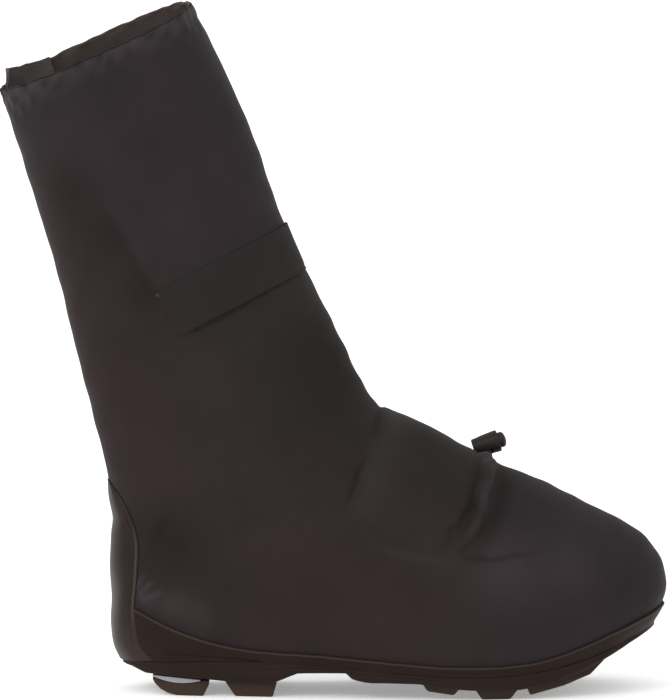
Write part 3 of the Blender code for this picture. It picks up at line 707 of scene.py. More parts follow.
def make_rand():
    piece, along, up = add_grid("rand_band", RAND_COLUMNS, RAND_ROWS)
    level = 1 - (1 - up) ** HEM_CROWDING
    side = 2 * along - 1
    angle = side * FIRST_END
    # The ends meet the counter's slanting sides, so angle and height are found in turn
    for _ in range(END_PASSES):
        v = rand_height(angle, level)
        angle = side * (np.pi - angle_from_back(v, counter_half(v) + GAP))
    v = rand_height(angle, level)
    top_rise = rand_rise(last_point(angle, 0)[:, 0] - HEEL[0])
    from_top = (1 - level) * (top_rise - OVERLAY_FOOT)
    hem = np.exp(-(((from_top - HEM_AT) / HEM_SPREAD) ** 2))
    place = last_point(angle, v) - HEEL
    rise = place[:, 2] - (last_point(angle, 0) - HEEL)[:, 2]
    line = LINE_HEIGHT * (1 - place[:, 0] / LINE_RUN)
    groove = np.exp(-(((rise - line) / LINE_WIDTH) ** 2)) * (line > OVERLAY_FOOT)
    thinned = RAND_THICK * HEM_THINNING * ease(HEM_AT / 2, 0, from_top)
    lift = OVERLAY_GAP + RAND_THICK + HEM_BEAD * hem - LINE_DEPTH * groove - thinned
    # The pale line along the hem is a painted highlight, set as paleness on each vertex
    place_grid(piece, RAND_COLUMNS, RAND_ROWS, along, up, cloth_point(angle, v, lift), wear_and_highlight=RAND_HEM_HIGHLIGHT * hem)
    add_wall(piece, RAND_THICK)
    return piece


rand = make_rand()
hand_over(rand, "rubberised_band", "rand")

# %% [markdown]
# ## Heel counter
# A tongue of glossier coated fabric up the back of the heel, with a stitched edge. It is cut from the
# same last between two angles that follow its outline, and its edge is raised a little by the turned hem.
# A second material on the upper would show the same outline, but it would have no edge to catch the light.

# %% Make the heel counter
COUNTER_THICK = 1.4 * MM
COUNTER_COLUMNS = 60
COUNTER_ROWS = 90
COUNTER_HEM = 0.15 * MM
COUNTER_EDGE = 0.3 * MM
COUNTER_HEM_AT = 0.96
COUNTER_HEM_SPREAD = 0.016
COUNTER_FULL = 0.6
Dent = namedtuple("Dent", "z depth width")
COUNTER_DENTS = (Dent(92, 0.9, 6.0), Dent(70, -0.6, 9.0), Dent(48, 0.5, 7.0))
# Paler places: painted highlights along the hem and in a wavering streak off the middle, and a paler tone at
# the foot
STREAK_AT = 0.25
STREAK_SPREAD = 0.25
STREAK_SWAY = 0.08
STREAK_SWAY_STEP = 7
COUNTER_HEM_HIGHLIGHT, STREAK_HIGHLIGHT, FOOT_PALE = 0.45, 0.35, 0.12
# Heights in mm over which each of them comes in and goes out
COUNTER_HEM_HIGHLIGHT_IN, COUNTER_HEM_HIGHLIGHT_OUT = (30, 50), (95, 75)
STREAK_IN, STREAK_OUT = (15, 28), (75, 55)
FOOT_PALE_OUT = (60, 20)


def make_counter():
    piece, along, up = add_grid("counter_tongue", COUNTER_COLUMNS, COUNTER_ROWS)
    foot = height_number(np.array(np.pi), OVERLAY_FOOT)
    v = foot + (COUNTER_TOP - foot) * np.sin(up * np.pi / 2)
    reach = angle_from_back(v, counter_half(v))
    across = 2 * along - 1
    across = (across + np.sin(across * np.pi / 2)) / 2
    angle = np.pi + reach * across
    z = last_point(angle, v)[..., 2] / MM
    dents = sum(dent.depth * MM * np.exp(-(((z - dent.z) / dent.width) ** 2)) for dent in COUNTER_DENTS)
    edge = np.maximum(np.abs(across), up)
    hem = np.exp(-(((edge - COUNTER_HEM_AT) / COUNTER_HEM_SPREAD) ** 2))
    flat = COUNTER_EDGE + (COUNTER_THICK - COUNTER_EDGE) * ease(1.0, COUNTER_FULL, edge)
    lift = OVERLAY_GAP + flat + COUNTER_HEM * hem - dents * (1 - across**2)
    # Painted highlights in a wavering streak and along the hem, and a paler tone toward the foot
    off_streak = across - STREAK_AT - STREAK_SWAY * np.sin(z / STREAK_SWAY_STEP)
    streak = np.exp(-((off_streak / STREAK_SPREAD) ** 2)) * ease(*STREAK_IN, z) * ease(*STREAK_OUT, z)
    hem_highlight = hem * ease(*COUNTER_HEM_HIGHLIGHT_IN, z) * ease(*COUNTER_HEM_HIGHLIGHT_OUT, z)
    wear_and_highlight = COUNTER_HEM_HIGHLIGHT * hem_highlight + STREAK_HIGHLIGHT * streak + FOOT_PALE * ease(*FOOT_PALE_OUT, z)
    place_grid(piece, COUNTER_COLUMNS, COUNTER_ROWS, along, up, cloth_point(angle, v, lift), wear_and_highlight=wear_and_highlight)
    add_wall(piece, COUNTER_EDGE)
    return piece


counter = make_counter()
hand_over(counter, "glossy_fabric", "heel_counter")

# %% [markdown]
# ## Ankle strap and cord casing
# Two bands cross the front: a flat strap round the ankle with a square end on the outer side, and a
# sewn channel over the instep that holds the elastic cord. Both follow a middle line on the last and
# spread a real width to each side of it. A curve with a flat profile would make a strap as well, but one
# that cuts into the cloth wherever a crease rises under it.

# %% Bands on the last
Band = namedtuple("Band", "front_v drop end half")
STRAP = Band(11.55, 0.33, math.radians(100), 13.2 * MM)
CASING = Band(6.7, 2.25, math.radians(70), 5.5 * MM)


def band_place(band, along, offset):
    """Angle and height number on a band: along from -1 at its outer end to 1, offset in metres."""
    angle = along * band.end
    v = band.front_v - band.drop * along**2
    round_slope, rise_slope = last_slopes(angle, v)
    run = round_slope * band.end - rise_slope * (2 * band.drop * along)[..., None]
    sideways = unit(np.cross(unit(np.cross(round_slope, rise_slope)), run)) * offset[..., None]
    rr, rs, ss = (np.sum(a * b, axis=-1) for a, b in
                  ((round_slope, round_slope), (round_slope, rise_slope), (rise_slope, rise_slope)))
    rd, sd = np.sum(round_slope * sideways, axis=-1), np.sum(rise_slope * sideways, axis=-1)
    whole = rr * ss - rs**2
    return angle + (ss * rd - rs * sd) / whole, v + (rr * sd - rs * rd) / whole


print("strap", 2 * STRAP.half / MM, "mm wide, casing", 2 * CASING.half / MM, "mm wide")


# %% Make the strap
STRAP_COLUMNS = 180
STRAP_ROWS = 28
STRAP_SHEET = 0.35 * MM
STRAP_LIFT = 1.3 * MM
STRAP_TROUGH = 0.15 * MM
STRAP_FLAT_END = 0.86
FRONT_SPREAD = 0.3
FRONT_STAND = 0.9
FRONT_TILT = 1.6
LENGTH_TO_WIDTH = 6
SEAM_AT = 0.8
SEAM_SPREAD = 0.05


def strap_lift(along, across):
    """Out from the cloth: the lower edge stands off at the sides, the upper one in front, no end does."""
    front = np.exp(-((along / FRONT_SPREAD) ** 2))
    lower = (1 - across) / 2
    stand = lower + (FRONT_STAND - FRONT_TILT * lower) * front
    edge = np.maximum(np.abs(across), 1 - (1 - np.abs(along)) * LENGTH_TO_WIDTH)
    stitch = STRAP_TROUGH * np.exp(-(((edge - SEAM_AT) / SEAM_SPREAD) ** 2))
    return STRAP_SHEET + STRAP_LIFT * stand * ease(1.0, STRAP_FLAT_END, np.abs(along)) - stitch


def make_strap():
    piece, along, up = add_grid("strap_band", STRAP_COLUMNS, STRAP_ROWS)
    across = 2 * up - 1
    along_band = 2 * along - 1
    angle, v = band_place(STRAP, along_band, across * STRAP.half)
    lift = strap_lift(along_band, across)
    place_grid(piece, STRAP_COLUMNS, STRAP_ROWS, along, up, cloth_point(angle, v, lift))
    add_wall(piece, STRAP_SHEET)
    return piece


strap = make_strap()
hand_over(strap, "strap_fabric", "ankle_strap")

# %% Make the casing
CASING_SUNK = 0.3 * MM
CASING_CROWN = 2.4 * MM
CASING_SHEET = 0.5 * MM
CASING_COLUMNS = 150
CASING_ROWS = 24
CASING_TAPER = 0.6
CASING_ROUND = 1.5
CASING_END = 0.72
CASING_SWAY = 1.1 * MM
Wave = namedtuple("Wave", "count turn size")
CASING_GATHERS = (Wave(17, 1.2, 0.16), Wave(31, 2.9, 0.14))
CASING_SWAYS = (Wave(9, 0.0, 1.0), Wave(21, 1.0, 0.6))


def make_casing():
    piece, along, up = add_grid("casing_channel", CASING_COLUMNS, CASING_ROWS)
    across = 2 * up - 1
    along_band = 2 * along - 1
    thin = 1 - CASING_TAPER * along_band**2
    sway = CASING_SWAY * sum(w.size * np.sin(w.count * along_band + w.turn) for w in CASING_SWAYS)
    angle, v = band_place(CASING, along_band, across * CASING.half * thin + sway)
    gather = 1 + sum(w.size * np.sin(w.count * along_band + w.turn * across) for w in CASING_GATHERS)
    lying_end = ease(1.0, CASING_END, np.abs(along_band))
    crown = CASING_CROWN * (1 - across**2) ** CASING_ROUND * thin * gather * lying_end
    place_grid(piece, CASING_COLUMNS, CASING_ROWS, along, up, cloth_point(angle, v, crown - CASING_SUNK))
    add_wall(piece, CASING_SHEET)
    return piece


casing = make_casing()
hand_over(casing, "coated_fabric", "cord_casing")

# %% [markdown]
# ## Collar
# The top edge is turned over to a hem. Inside lies a facing, a smooth band that shows over the near rim.
# One grid runs over the rim, where it is the cloth itself, and down inside, because two pieces that meet
# at the rim would show a slit. A tab of brushed loop tape is sewn in at the back of the facing, on the
# inner side. It is a grid too, roughened by a fine random fuzz, because hair for so small a tab is heavy.

# %% Make the collar facing
FACING_COLUMNS = 220
FACING_ROWS = 60
FACING_DEPTH = 30 * MM
FACING_THICK = 0.25 * MM
RIM_ROUND = 0.7 * MM
CLOTH_SHARE = 0.035
CALM_FROM = 3 * MM


def rim_point(angle, below, lift):
    """A point a given way below the rim, or above it where the way is less than zero."""
    rise = np.linalg.norm(last_slopes(angle, COLLAR)[1], axis=-1)
    return cloth_point(angle, COLLAR - below / rise, lift)


def make_facing():
    piece, along, up = add_grid("collar_facing", FACING_COLUMNS, FACING_ROWS)
    for face in piece.data.polygons:
        face.material_index = int(max(up[corner] for corner in face.vertices) < CLOTH_SHARE)
    angle = (2 * along - 1) * np.pi
    turn_half = np.pi * RIM_ROUND / 2
    way = up * (2 * turn_half + FACING_DEPTH) - turn_half
    turn = np.clip(way / turn_half, -1, 1) * np.pi / 2
    below = np.maximum(way - turn_half, 0) - RIM_ROUND * np.cos(turn)
    calm = gathers(angle, below) * ease(0, CALM_FROM, below)
    lift = -WALL / 2 - RIM_ROUND * np.sin(turn) - calm
    place_grid(piece, FACING_COLUMNS, FACING_ROWS, along, up, rim_point(angle, below, lift))
    add_wall(piece, FACING_THICK, offset=1)
    return piece


facing = make_facing()
hand_over(facing, "coated_fabric")

# %% Make the tab
TAB_FROM = math.radians(122)
TAB_TO = math.radians(186)
TAB_DEPTH = 24 * MM
TAB_PROUD_BACK = 11.5 * MM
TAB_PROUD_SIDE = 1.5 * MM
TAB_LEAN = 0.45
TAB_THICK = 1.2 * MM
TAB_COLUMNS = 60
TAB_ROWS = 50
TAB_FUZZ = 0.06 * MM
TAB_SEED = 7
TAB_CORNER = 0.85
TAB_CORNER_DROP = 0.25
TAB_LEAN_FROM = 0.5
TAB_CLEAR = 0.3 * MM


def make_tab():
    piece, along, up = add_grid("loop_tape_tab", TAB_COLUMNS, TAB_ROWS)
    angle = TAB_FROM + (TAB_TO - TAB_FROM) * along
    corner = 1 - TAB_CORNER_DROP * ease(TAB_CORNER, 1, along)
    proud = (TAB_PROUD_SIDE + (TAB_PROUD_BACK - TAB_PROUD_SIDE) * along) * corner
    below = TAB_DEPTH - (TAB_DEPTH + proud) * up
    fuzz = TAB_FUZZ * np.random.default_rng(TAB_SEED).normal(size=len(along))
    lean = TAB_LEAN * ease(TAB_LEAN_FROM, 1, along) * np.maximum(-below, 0)
    lift = -WALL - FACING_THICK - RIM_ROUND - TAB_CLEAR + fuzz - gathers(angle, below) - lean
    place_grid(piece, TAB_COLUMNS, TAB_ROWS, along, up, rim_point(angle, below, lift))
    add_wall(piece, TAB_THICK)
    return piece


tab = make_tab()
hand_over(tab, "strap_fabric", "collar_tab")

# %% [markdown]
# ## Outsole
# A moulded rubber plate with a rounded edge, a groove along its side and pairs of lugs. The plate is one
# grid, wrapped round a cross-section at each station from heel to toe and filled at both ends. Each lug
# is a cube, pulled to its corners and bevelled in edit mode, as a mould would leave it. Grooves could be
# cut out of one thick block as well, but then no lug could have a slope of its own.

# %% Sole sizes
# Percent of the way from heel to toe, and the plate's thickness in mm
SOLE = np.array((
    (0.0, 2.0), (2.0, 3.2), (4.5, 6.4), (14.5, 9.6), (20.0, 11.2), (28.5, 11.2), (33.0, 5.2), (42.0, 2.8),
    (43.2, 6.0), (46.0, 6.9), (50.0, 5.8), (55.5, 4.7), (58.5, 6.0), (63.0, 6.7), (74.0, 8.2), (80.0, 7.6),
    (88.0, 4.8), (95.0, 2.4), (100.0, 2.2),
))
SOLE_LIP = GAP + RAND_THICK
SOLE_INSET = 3.0 * MM
SOLE_INSET_MOST = 0.45
# Share of the inset and of the depth, from the top edge down to the tread, with a groove on the way
SOLE_EDGE = np.array((
    (0.12, 0.0), (0.03, 0.02), (0.0, 0.1), (0.0, 0.3), (0.07, 0.36), (0.07, 0.42), (0.0, 0.48), (0.0, 0.7),
    (0.1, 0.85), (0.4, 0.97), (1.0, 1.0),
))
FEATHER = section_at(0.0)
SOLE_BACK = FEATHER.back_x
HEEL_TUCK = 60 * MM
SOLE_FRONT = FEATHER.front_x + SOLE_LIP


def sole_share(x):
    return np.clip((x - SOLE_BACK) / (SOLE_FRONT - SOLE_BACK), 0, 1)


def sole_edges(x):
    """Outer and inner edge of the sole at x from the heel."""
    forward = sole_share(x)
    angle = np.arccos(2 * forward - 1)
    middle, lip = centre_line(FEATHER, forward), SOLE_LIP * np.sin(angle) * ease(0, HEEL_TUCK, x)
    return middle - half_width(FEATHER, -angle) - lip, middle + half_width(FEATHER, angle) + lip


def sole_top(x):
    return section_height(FEATHER, sole_share(x)) - OVERLAY_GAP


def sole_bottom(x):
    return sole_top(x) - np.interp(100 * sole_share(x), SOLE[:, 0], SOLE[:, 1]) * MM


print("sole from", round(SOLE_BACK / MM, 1), "to", round(SOLE_FRONT / MM, 1), "mm from the heel")


# %% Make the sole plate
SOLE_ROWS = 130
EDGE_STEPS = 22
BOTTOM_STEPS = 10
END_SHARE = 0.02


def sole_ring():
    """Side, inset share and depth share round a cross-section, from the top outer edge to the inner."""
    places = np.linspace(0, len(SOLE_EDGE) - 1, EDGE_STEPS + 1)
    edge = through(SOLE_EDGE, places)
    outer = np.column_stack([-np.ones(len(edge)), edge])
    inner = np.column_stack([np.ones(len(edge)), edge])[::-1]
    middle = np.linspace(-1, 1, BOTTOM_STEPS + 1)[1:-1]
    flat = np.column_stack([middle, np.ones((len(middle), 2))])
    top = np.column_stack([-middle, np.full((len(middle), 2), (SOLE_EDGE[0, 0], 0.0))])
    return np.vstack([outer, flat, inner, top, outer[:1]])


def make_plate():
    ring = sole_ring()
    columns = len(ring) - 1
    piece, along, up = add_grid("sole_plate", columns, SOLE_ROWS)
    turn = np.pi * (1 - (END_SHARE + (1 - 2 * END_SHARE) * up))
    x = SOLE_BACK + (SOLE_FRONT - SOLE_BACK) * (1 + np.cos(turn)) / 2
    side, inwards, down = ring[np.rint(along * columns).astype(int)].T
    outer, inner = sole_edges(x)
    inset = np.minimum(SOLE_INSET, SOLE_INSET_MOST * (inner - outer) / 2) * inwards
    y = (outer + inner) / 2 + side * ((inner - outer) / 2 - inset)
    z = sole_top(x) + (sole_bottom(x) - sole_top(x)) * down
    place_grid(piece, columns, SOLE_ROWS, along, up, HEEL + np.stack([x, y, z], axis=-1))
    close_ends()
    return piece


plate = make_plate()
print("sole plate", len(plate.data.polygons), "faces")

# %% Make the lugs and join them to the plate
Lug = namedtuple("Lug", "rear_x front_x rear_z front_z rear_draft front_draft")
LUGS = (
    Lug(61, 91, 0, 0, 7, 3),
    Lug(166, 188.5, 4.3, 2.3, 4, 4.5),
    Lug(194, 219.5, 0, 0, 5, 5.5),
    Lug(222, 244, 2.0, 7.0, 2.5, 0),
    Lug(243, 270, 6.75, 11.0, 0, 13),
)
LUG_INSET = 3.5 * MM
LUG_CHANNEL = 8 * MM
LUG_SIDE_DRAFT = 1.5 * MM
LUG_ROOT = 2.0 * MM
LUG_ROUND = 1.1 * MM
SMOOTH_MOULDED = math.radians(35)
TREAD_WEAR = 0.6
TREAD_WEAR_FROM = 13 * MM
TREAD_WEAR_FULL = 4 * MM
HEEL_WEAR = 0.25
HEEL_WEAR_FROM = 170 * MM
HEEL_WEAR_FULL = 100 * MM


def lug_corner(lug, side, front, tread, at_edge):
    """A corner of a lug: front or rear, at the tread or the root, at the sole's edge or the channel."""
    x = (lug.front_x if front else lug.rear_x) * MM
    outer, inner = sole_edges(x)
    edge = inner - LUG_INSET if side > 0 else outer + LUG_INSET
    channel = centre_line(FEATHER, 0.5) + side * LUG_CHANNEL
    y = edge if at_edge else channel
    if not tread:
        return x, y, sole_bottom(x) + LUG_ROOT
    x += (-lug.front_draft if front else lug.rear_draft) * MM
    y += (-side if at_edge else side) * LUG_SIDE_DRAFT
    return x, y, (lug.front_z if front else lug.rear_z) * MM


def worn_treads(piece):
    """Rubber is rubbed paler toward the floor, and most at the heel."""
    forward, _, height = (vertex_places(piece) - HEEL).T
    low = ease(TREAD_WEAR_FROM, TREAD_WEAR_FULL, height)
    at_heel = ease(HEEL_WEAR_FROM, HEEL_WEAR_FULL, forward)
    set_wear_and_highlight(piece, low * (TREAD_WEAR + HEEL_WEAR * at_heel))


def make_lug(lug, side):
    piece = add_new("lug", bpy.ops.mesh.primitive_cube_add, size=2)
    for corner in piece.data.vertices:
        at = corner.co
        place = lug_corner(lug, side, at.x > 0, at.z < 0, at.y * side > 0)
        corner.co = HEEL + np.array(place)
    with edit_mode():
        bpy.ops.mesh.bevel(offset=LUG_ROUND, segments=3, affect="EDGES")
        bpy.ops.mesh.normals_make_consistent(inside=False)
    bpy.ops.object.shade_smooth_by_angle(angle=SMOOTH_MOULDED)
    worn_treads(piece)
    return piece


def join(pieces, name):
    bpy.ops.object.select_all(action="DESELECT")
    for piece in pieces:
        piece.select_set(True)
    bpy.context.view_layer.objects.active = pieces[0]
    bpy.ops.object.join()
    pieces[0].name = pieces[0].data.name = name
    return pieces[0]


outsole = join([plate] + [make_lug(lug, side) for lug in LUGS for side in (-1, 1)], "lugged_outsole")
hand_over(outsole, "moulded_rubber", "outsole")

# %% [markdown]
# ## Rear heel lug and the pale layer over it
# The rear of the heel stands on a moulded block, and a pale layer shows between it and the sole. Both
# have their true shape in the solids already, so they aren't modelled anew. A copy of each is merged,
# because a solid comes in as loose triangles, its flat faces are dissolved to single ones, and its edges
# are rounded, because no moulded edge is sharp.

# %% Soften the heel blocks
FLAT_ANGLE = math.radians(1)
EDGE_ANGLE = math.radians(30)
HEEL_LUG_ROUND = 0.9 * MM
FOAM_ROUND = 0.2 * MM


def soften(node, name, width):
    bpy.ops.object.select_all(action="DESELECT")
    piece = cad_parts[node].copy()
    piece.data = piece.data.copy()
    piece.data.materials.clear()
    for key in list(piece.keys()):
        del piece[key]
    piece.parent = None
    bpy.context.scene.collection.objects.link(piece)
    piece.select_set(True)
    bpy.context.view_layer.objects.active = piece
    piece.name = piece.data.name = name
    with edit_mode():
        bpy.ops.mesh.remove_doubles(threshold=MERGE)
        bpy.ops.mesh.dissolve_limited(angle_limit=FLAT_ANGLE)
    apply_modifier(piece, "BEVEL", width=width, segments=3, limit_method="ANGLE", angle_limit=EDGE_ANGLE)
    bpy.ops.object.shade_smooth_by_angle(angle=SMOOTH_MOULDED)
    return piece


heel_lug = soften("heel_lug", "rear_heel_lug", HEEL_LUG_ROUND)
worn_treads(heel_lug)
hand_over(heel_lug, "moulded_rubber", "heel_lug")
wedge = soften("heel_wedge", "pale_heel_layer", FOAM_ROUND)
hand_over(wedge, "pale_foam", "heel_wedge")

# %% [markdown]
# ## Cord lock and cord
# A sprung lock holds the elastic cord: a barrel with a bore, and a plunger that is pressed in to let the
# cord run. Both are turned shapes, so each is a grid wrapped round the lock's axis along a profile of
# radius and height. Spin would turn a profile as well, but a grid brings its UV map along. A slot is cut
# across each for the cord, longer in the plunger, which rides on its own body and travels past the cord.
# The cord is a short loop between casing and lock, and it is a tube on a smooth curve.

# %% Turned pieces on the lock's axis
LOCK_REAR = np.array([195.5, 25, 126.6]) * MM
LOCK_PITCH = math.radians(18)
LOCK_ALONG = np.array([math.cos(LOCK_PITCH), 0, math.sin(LOCK_PITCH)])
LOCK_UP = np.array([-math.sin(LOCK_PITCH), 0, math.cos(LOCK_PITCH)])
LOCK_SIDE = np.cross(LOCK_ALONG, LOCK_UP)
TURN_COLUMNS = 64
PROFILE_STEPS = 6
SMOOTH_TURNED = math.radians(50)


def spokes(along, first, second):
    """Directions round an axis, one full turn along the grid."""
    turn = 2 * np.pi * along[:, None]
    return np.cos(turn) * first + np.sin(turn) * second


def make_turned(name, profile):
    """A profile of radius and height in mm, run from the axis at the front to the axis at the rear."""
    profile = np.array(profile, float)
    rows = (len(profile) - 1) * PROFILE_STEPS
    piece, along, up = add_grid(name, TURN_COLUMNS, rows)
    place = up * (len(profile) - 1)
    radius, height = (np.interp(place, range(len(profile)), profile[:, i]) * MM for i in (0, 1))
    points = HEEL + LOCK_REAR + height[:, None] * LOCK_ALONG
    points += radius[:, None] * spokes(along, LOCK_UP, LOCK_SIDE)
    place_grid(piece, TURN_COLUMNS, rows, along, up, points)
    with edit_mode():
        bpy.ops.mesh.normals_make_consistent(inside=False)
    bpy.ops.object.shade_smooth_by_angle(angle=SMOOTH_TURNED)
    return piece


def arc(centre, radius, start, stop, steps=5):
    """Points of a round edge in a profile, with angles in degrees from the radius to the height."""
    turns = np.radians(np.linspace(start, stop, steps))
    return [(centre[0] + radius * math.cos(turn), centre[1] + radius * math.sin(turn)) for turn in turns]


print("axis of the lock", np.round(LOCK_ALONG, 3))

# %% Profiles of the lock, in mm of radius and height
PLUNGER_RADIUS = 4.2
PLUNGER_FOOT = 5.4
DOME_AT = 16.3
DOME_RISE = 2.0
DOME_TURNS = np.linspace(0, math.pi / 2, 9)
BARREL_PROFILE = [
    (0, 2.0), (4.5, 2.0), (4.5, 14.0), *arc((5.3, 13.9), 0.6, 170, 0), (5.9, 12.4), (5.5, 6.0), (5.0, 1.8),
    *arc((4.1, 0.9), 0.9, 0, -90), (0, 0),
]
PLUNGER_DOME = [
    (PLUNGER_RADIUS * math.sin(turn), DOME_AT + DOME_RISE * math.cos(turn)) for turn in DOME_TURNS
]
PLUNGER_PROFILE = [*PLUNGER_DOME, (PLUNGER_RADIUS, PLUNGER_FOOT), (0, PLUNGER_FOOT)]
print("barrel", len(BARREL_PROFILE), "and plunger", len(PLUNGER_PROFILE), "points of a profile")

# %% Make the lock, with a slot for the cord
CORD_ROUTE = np.array((
    (203.0, 18.5, 120.4), (203.8, 19.7, 121.9), (204.5, 21.2, 123.7),
    (203.9, 23.5, 127.0), (203.2, 25.6, 129.6),
)) * MM
PRESS_TRAVEL = 2.5 * MM
SLOT_AT = 8.5 * MM
SLOT_WIDTH = 5.0 * MM
SLOT_LENGTH = 2.7 * MM
SLOT_THROUGH = 22 * MM
CORD_DOWN = CORD_ROUTE[-2] - CORD_ROUTE[-1]
SLOT_DOWN = unit(np.cross(LOCK_ALONG, np.cross(CORD_DOWN, LOCK_ALONG)))


def cut_slot(piece, travel):
    """A slot across the lock for the cord, longer along the axis by the way that the piece travels."""
    cutter = add_new("slot_cutter", bpy.ops.mesh.primitive_cube_add, size=1)
    size = np.array([SLOT_WIDTH, SLOT_THROUGH, SLOT_LENGTH + travel])
    axes = np.array([np.cross(SLOT_DOWN, LOCK_ALONG), SLOT_DOWN, LOCK_ALONG])
    centre = HEEL + LOCK_REAR + LOCK_ALONG * (SLOT_AT + travel / 2)
    for corner in cutter.data.vertices:
        corner.co = centre + (np.array(corner.co) * size) @ axes
    bpy.context.view_layer.objects.active = piece
    piece.select_set(True)
    apply_modifier(piece, "BOOLEAN", object=cutter, operation="DIFFERENCE", solver="EXACT")
    bpy.data.objects.remove(cutter)
    bpy.ops.object.shade_smooth_by_angle(angle=SMOOTH_TURNED)


barrel = make_turned("lock_barrel", BARREL_PROFILE)
cut_slot(barrel, 0.0)
hand_over(barrel, "acetal", "cord_lock_barrel")
plunger = make_turned("lock_plunger", PLUNGER_PROFILE)
cut_slot(plunger, PRESS_TRAVEL)
hand_over(plunger, "acetal", "cord_lock_plunger", body="plunger")

# %% Make the cord
CORD_RADIUS = 1.0 * MM
CORD_SPREAD = 1.15 * MM
CORD_COLUMNS = 20
CORD_ROWS = 60


def make_cord():
    """From inside the casing up one leg, round the bight inside the lock and down the other."""
    climb = CORD_ROUTE[-1] - CORD_ROUTE[0]
    across = unit(np.cross(climb, LOCK_ALONG)) * CORD_SPREAD
    bight = CORD_ROUTE[-1] + unit(climb) * CORD_SPREAD
    line = np.vstack([CORD_ROUTE + across, [bight], CORD_ROUTE[::-1] - across])
    piece, along, up = add_grid("elastic_loop", CORD_COLUMNS, CORD_ROWS)
    place = up * (len(line) - 1)
    middle = through(line, place)
    run = unit(through(line, place + SLOPE_STEP) - through(line, place - SLOPE_STEP))
    side = unit(np.cross(run, LOCK_ALONG))
    points = HEEL + middle + CORD_RADIUS * spokes(along, side, np.cross(run, side))
    place_grid(piece, CORD_COLUMNS, CORD_ROWS, along, up, points)
    close_ends()
    return piece


cord = make_cord()
hand_over(cord, "elastic_cord", "instep_cord")

# %% [markdown]
# ## Stitches and bar tacks
# Rows of lockstitch hold the strap and the counter. One stitch is a small sphere, squeezed to a grain of
# thread. It is then repeated along each seam as one joined mesh, which is lighter than hundreds of
# objects. A bar tack is the same stitch, set close across a seam's end.

# %% One stitch, repeated along seams
STITCH_PITCH = 3.0 * MM
STITCH_LENGTH = 2.3 * MM
STITCH_WIDTH = 0.55 * MM
STITCH_HEIGHT = 0.4 * MM


def stitch_shape():
    seed = add_new(
        "stitch", bpy.ops.mesh.primitive_uv_sphere_add, segments=8, ring_count=6, radius=0.5,
    )
    with edit_mode():
        bpy.ops.transform.resize(value=(STITCH_LENGTH, STITCH_WIDTH, STITCH_HEIGHT))
    points = vertex_places(seed)
    faces = [list(face.vertices) for face in seed.data.polygons]
    bpy.data.objects.remove(seed)
    return points, faces


def along_seam(way, table, at):
    """A row of the table, read a given way along the seam."""
    return np.array([np.interp(at, way, column) for column in table.T])


def make_stitches(name, seams):
    """Seams are pairs of points and outward directions, close together along each seam."""
    points, faces = stitch_shape()
    made_points, made_faces = [], []
    for line, outward in seams:
        way = np.concatenate([[0], np.cumsum(np.linalg.norm(np.diff(line, axis=0), axis=1))])
        for at in np.arange(STITCH_PITCH / 2, way[-1], STITCH_PITCH):
            centre, out = (along_seam(way, table, at) for table in (line, outward))
            run = unit(along_seam(way, line, at + STITCH_PITCH / 2) - centre)
            side = unit(np.cross(out, run))
            start = len(made_points) * len(points)
            made_points.append(centre + points @ np.array([run, side, np.cross(run, side)]))
            made_faces += [[corner + start for corner in face] for face in faces]
    mesh = bpy.data.meshes.new(name)
    mesh.from_pydata(np.vstack(made_points).tolist(), [], made_faces)
    mesh.shade_smooth()
    piece = bpy.data.objects.new(name, mesh)
    bpy.context.scene.collection.objects.link(piece)
    return piece


print("stitches", STITCH_LENGTH / MM, "mm long, one every", STITCH_PITCH / MM, "mm")

# %% Where the seams run
SEAM_END = 0.97
END_SEAM_HALF = 0.78
SEAM_STEPS = 160
END_SEAM_STEPS = 30
COUNTER_SEAM = 0.86
COUNTER_SEAM_LIFT = 0.25
COUNTER_SEAM_FOOT = 0.9
COUNTER_SEAM_TOP = COUNTER_TOP - 0.1
COUNTER_SEAM_STEPS = 120


def cloth_seam(angle, v, lift):
    return cloth_point(angle, v, lift + np.zeros(np.shape(angle))), last_normal(angle, v)


def strap_seams():
    along = np.linspace(-SEAM_END, SEAM_END, SEAM_STEPS)
    for across in (-SEAM_AT, SEAM_AT):
        angle, v = band_place(STRAP, along, np.full(along.shape, across * STRAP.half))
        yield cloth_seam(angle, v, strap_lift(along, np.full(along.shape, across)))
    across = np.linspace(-END_SEAM_HALF, END_SEAM_HALF, END_SEAM_STEPS)
    for end in (-SEAM_END, SEAM_END):
        angle, v = band_place(STRAP, np.full(across.shape, end), across * STRAP.half)
        yield cloth_seam(angle, v, strap_lift(np.full(across.shape, end), across))


def counter_seam(side):
    v = np.linspace(COUNTER_SEAM_FOOT, COUNTER_SEAM_TOP, COUNTER_SEAM_STEPS)
    angle = np.pi + side * COUNTER_SEAM * angle_from_back(v, counter_half(v))
    flat = COUNTER_EDGE + COUNTER_SEAM_LIFT * (COUNTER_THICK - COUNTER_EDGE)
    return cloth_seam(angle, v, OVERLAY_GAP + flat)


stitches = make_stitches("seam_stitches", [*strap_seams(), counter_seam(-1), counter_seam(1)])
hand_over(stitches, "strap_fabric")


# %% Bar tacks, pale, at the strap's end and at the tab
TACK_STITCHES = 5
TACK_LENGTH = 2.4 * MM
# Share of the way along the strap to its outer end, and across it to its upper edge
STRAP_TACK = (-0.985, 0.86)
TAB_TACK_V = COLLAR - 0.18
TAB_TACK_LIFT = -WALL - FACING_THICK - RIM_ROUND - TAB_THICK - 0.4 * MM


def bar_tack(angle, v, lift):
    """Close stitches side by side, which make one short bar."""
    round_slope, rise_slope = last_slopes(angle, v)
    along, out = unit(round_slope), unit(np.cross(round_slope, rise_slope))
    across = np.cross(out, along) * STITCH_PITCH / 2
    centre = cloth_point(angle, v, lift)
    for shift in np.linspace(-0.5, 0.5, TACK_STITCHES) * TACK_LENGTH:
        middle = centre + along * shift
        yield np.array([middle - across, middle + across]), np.array([out, out])


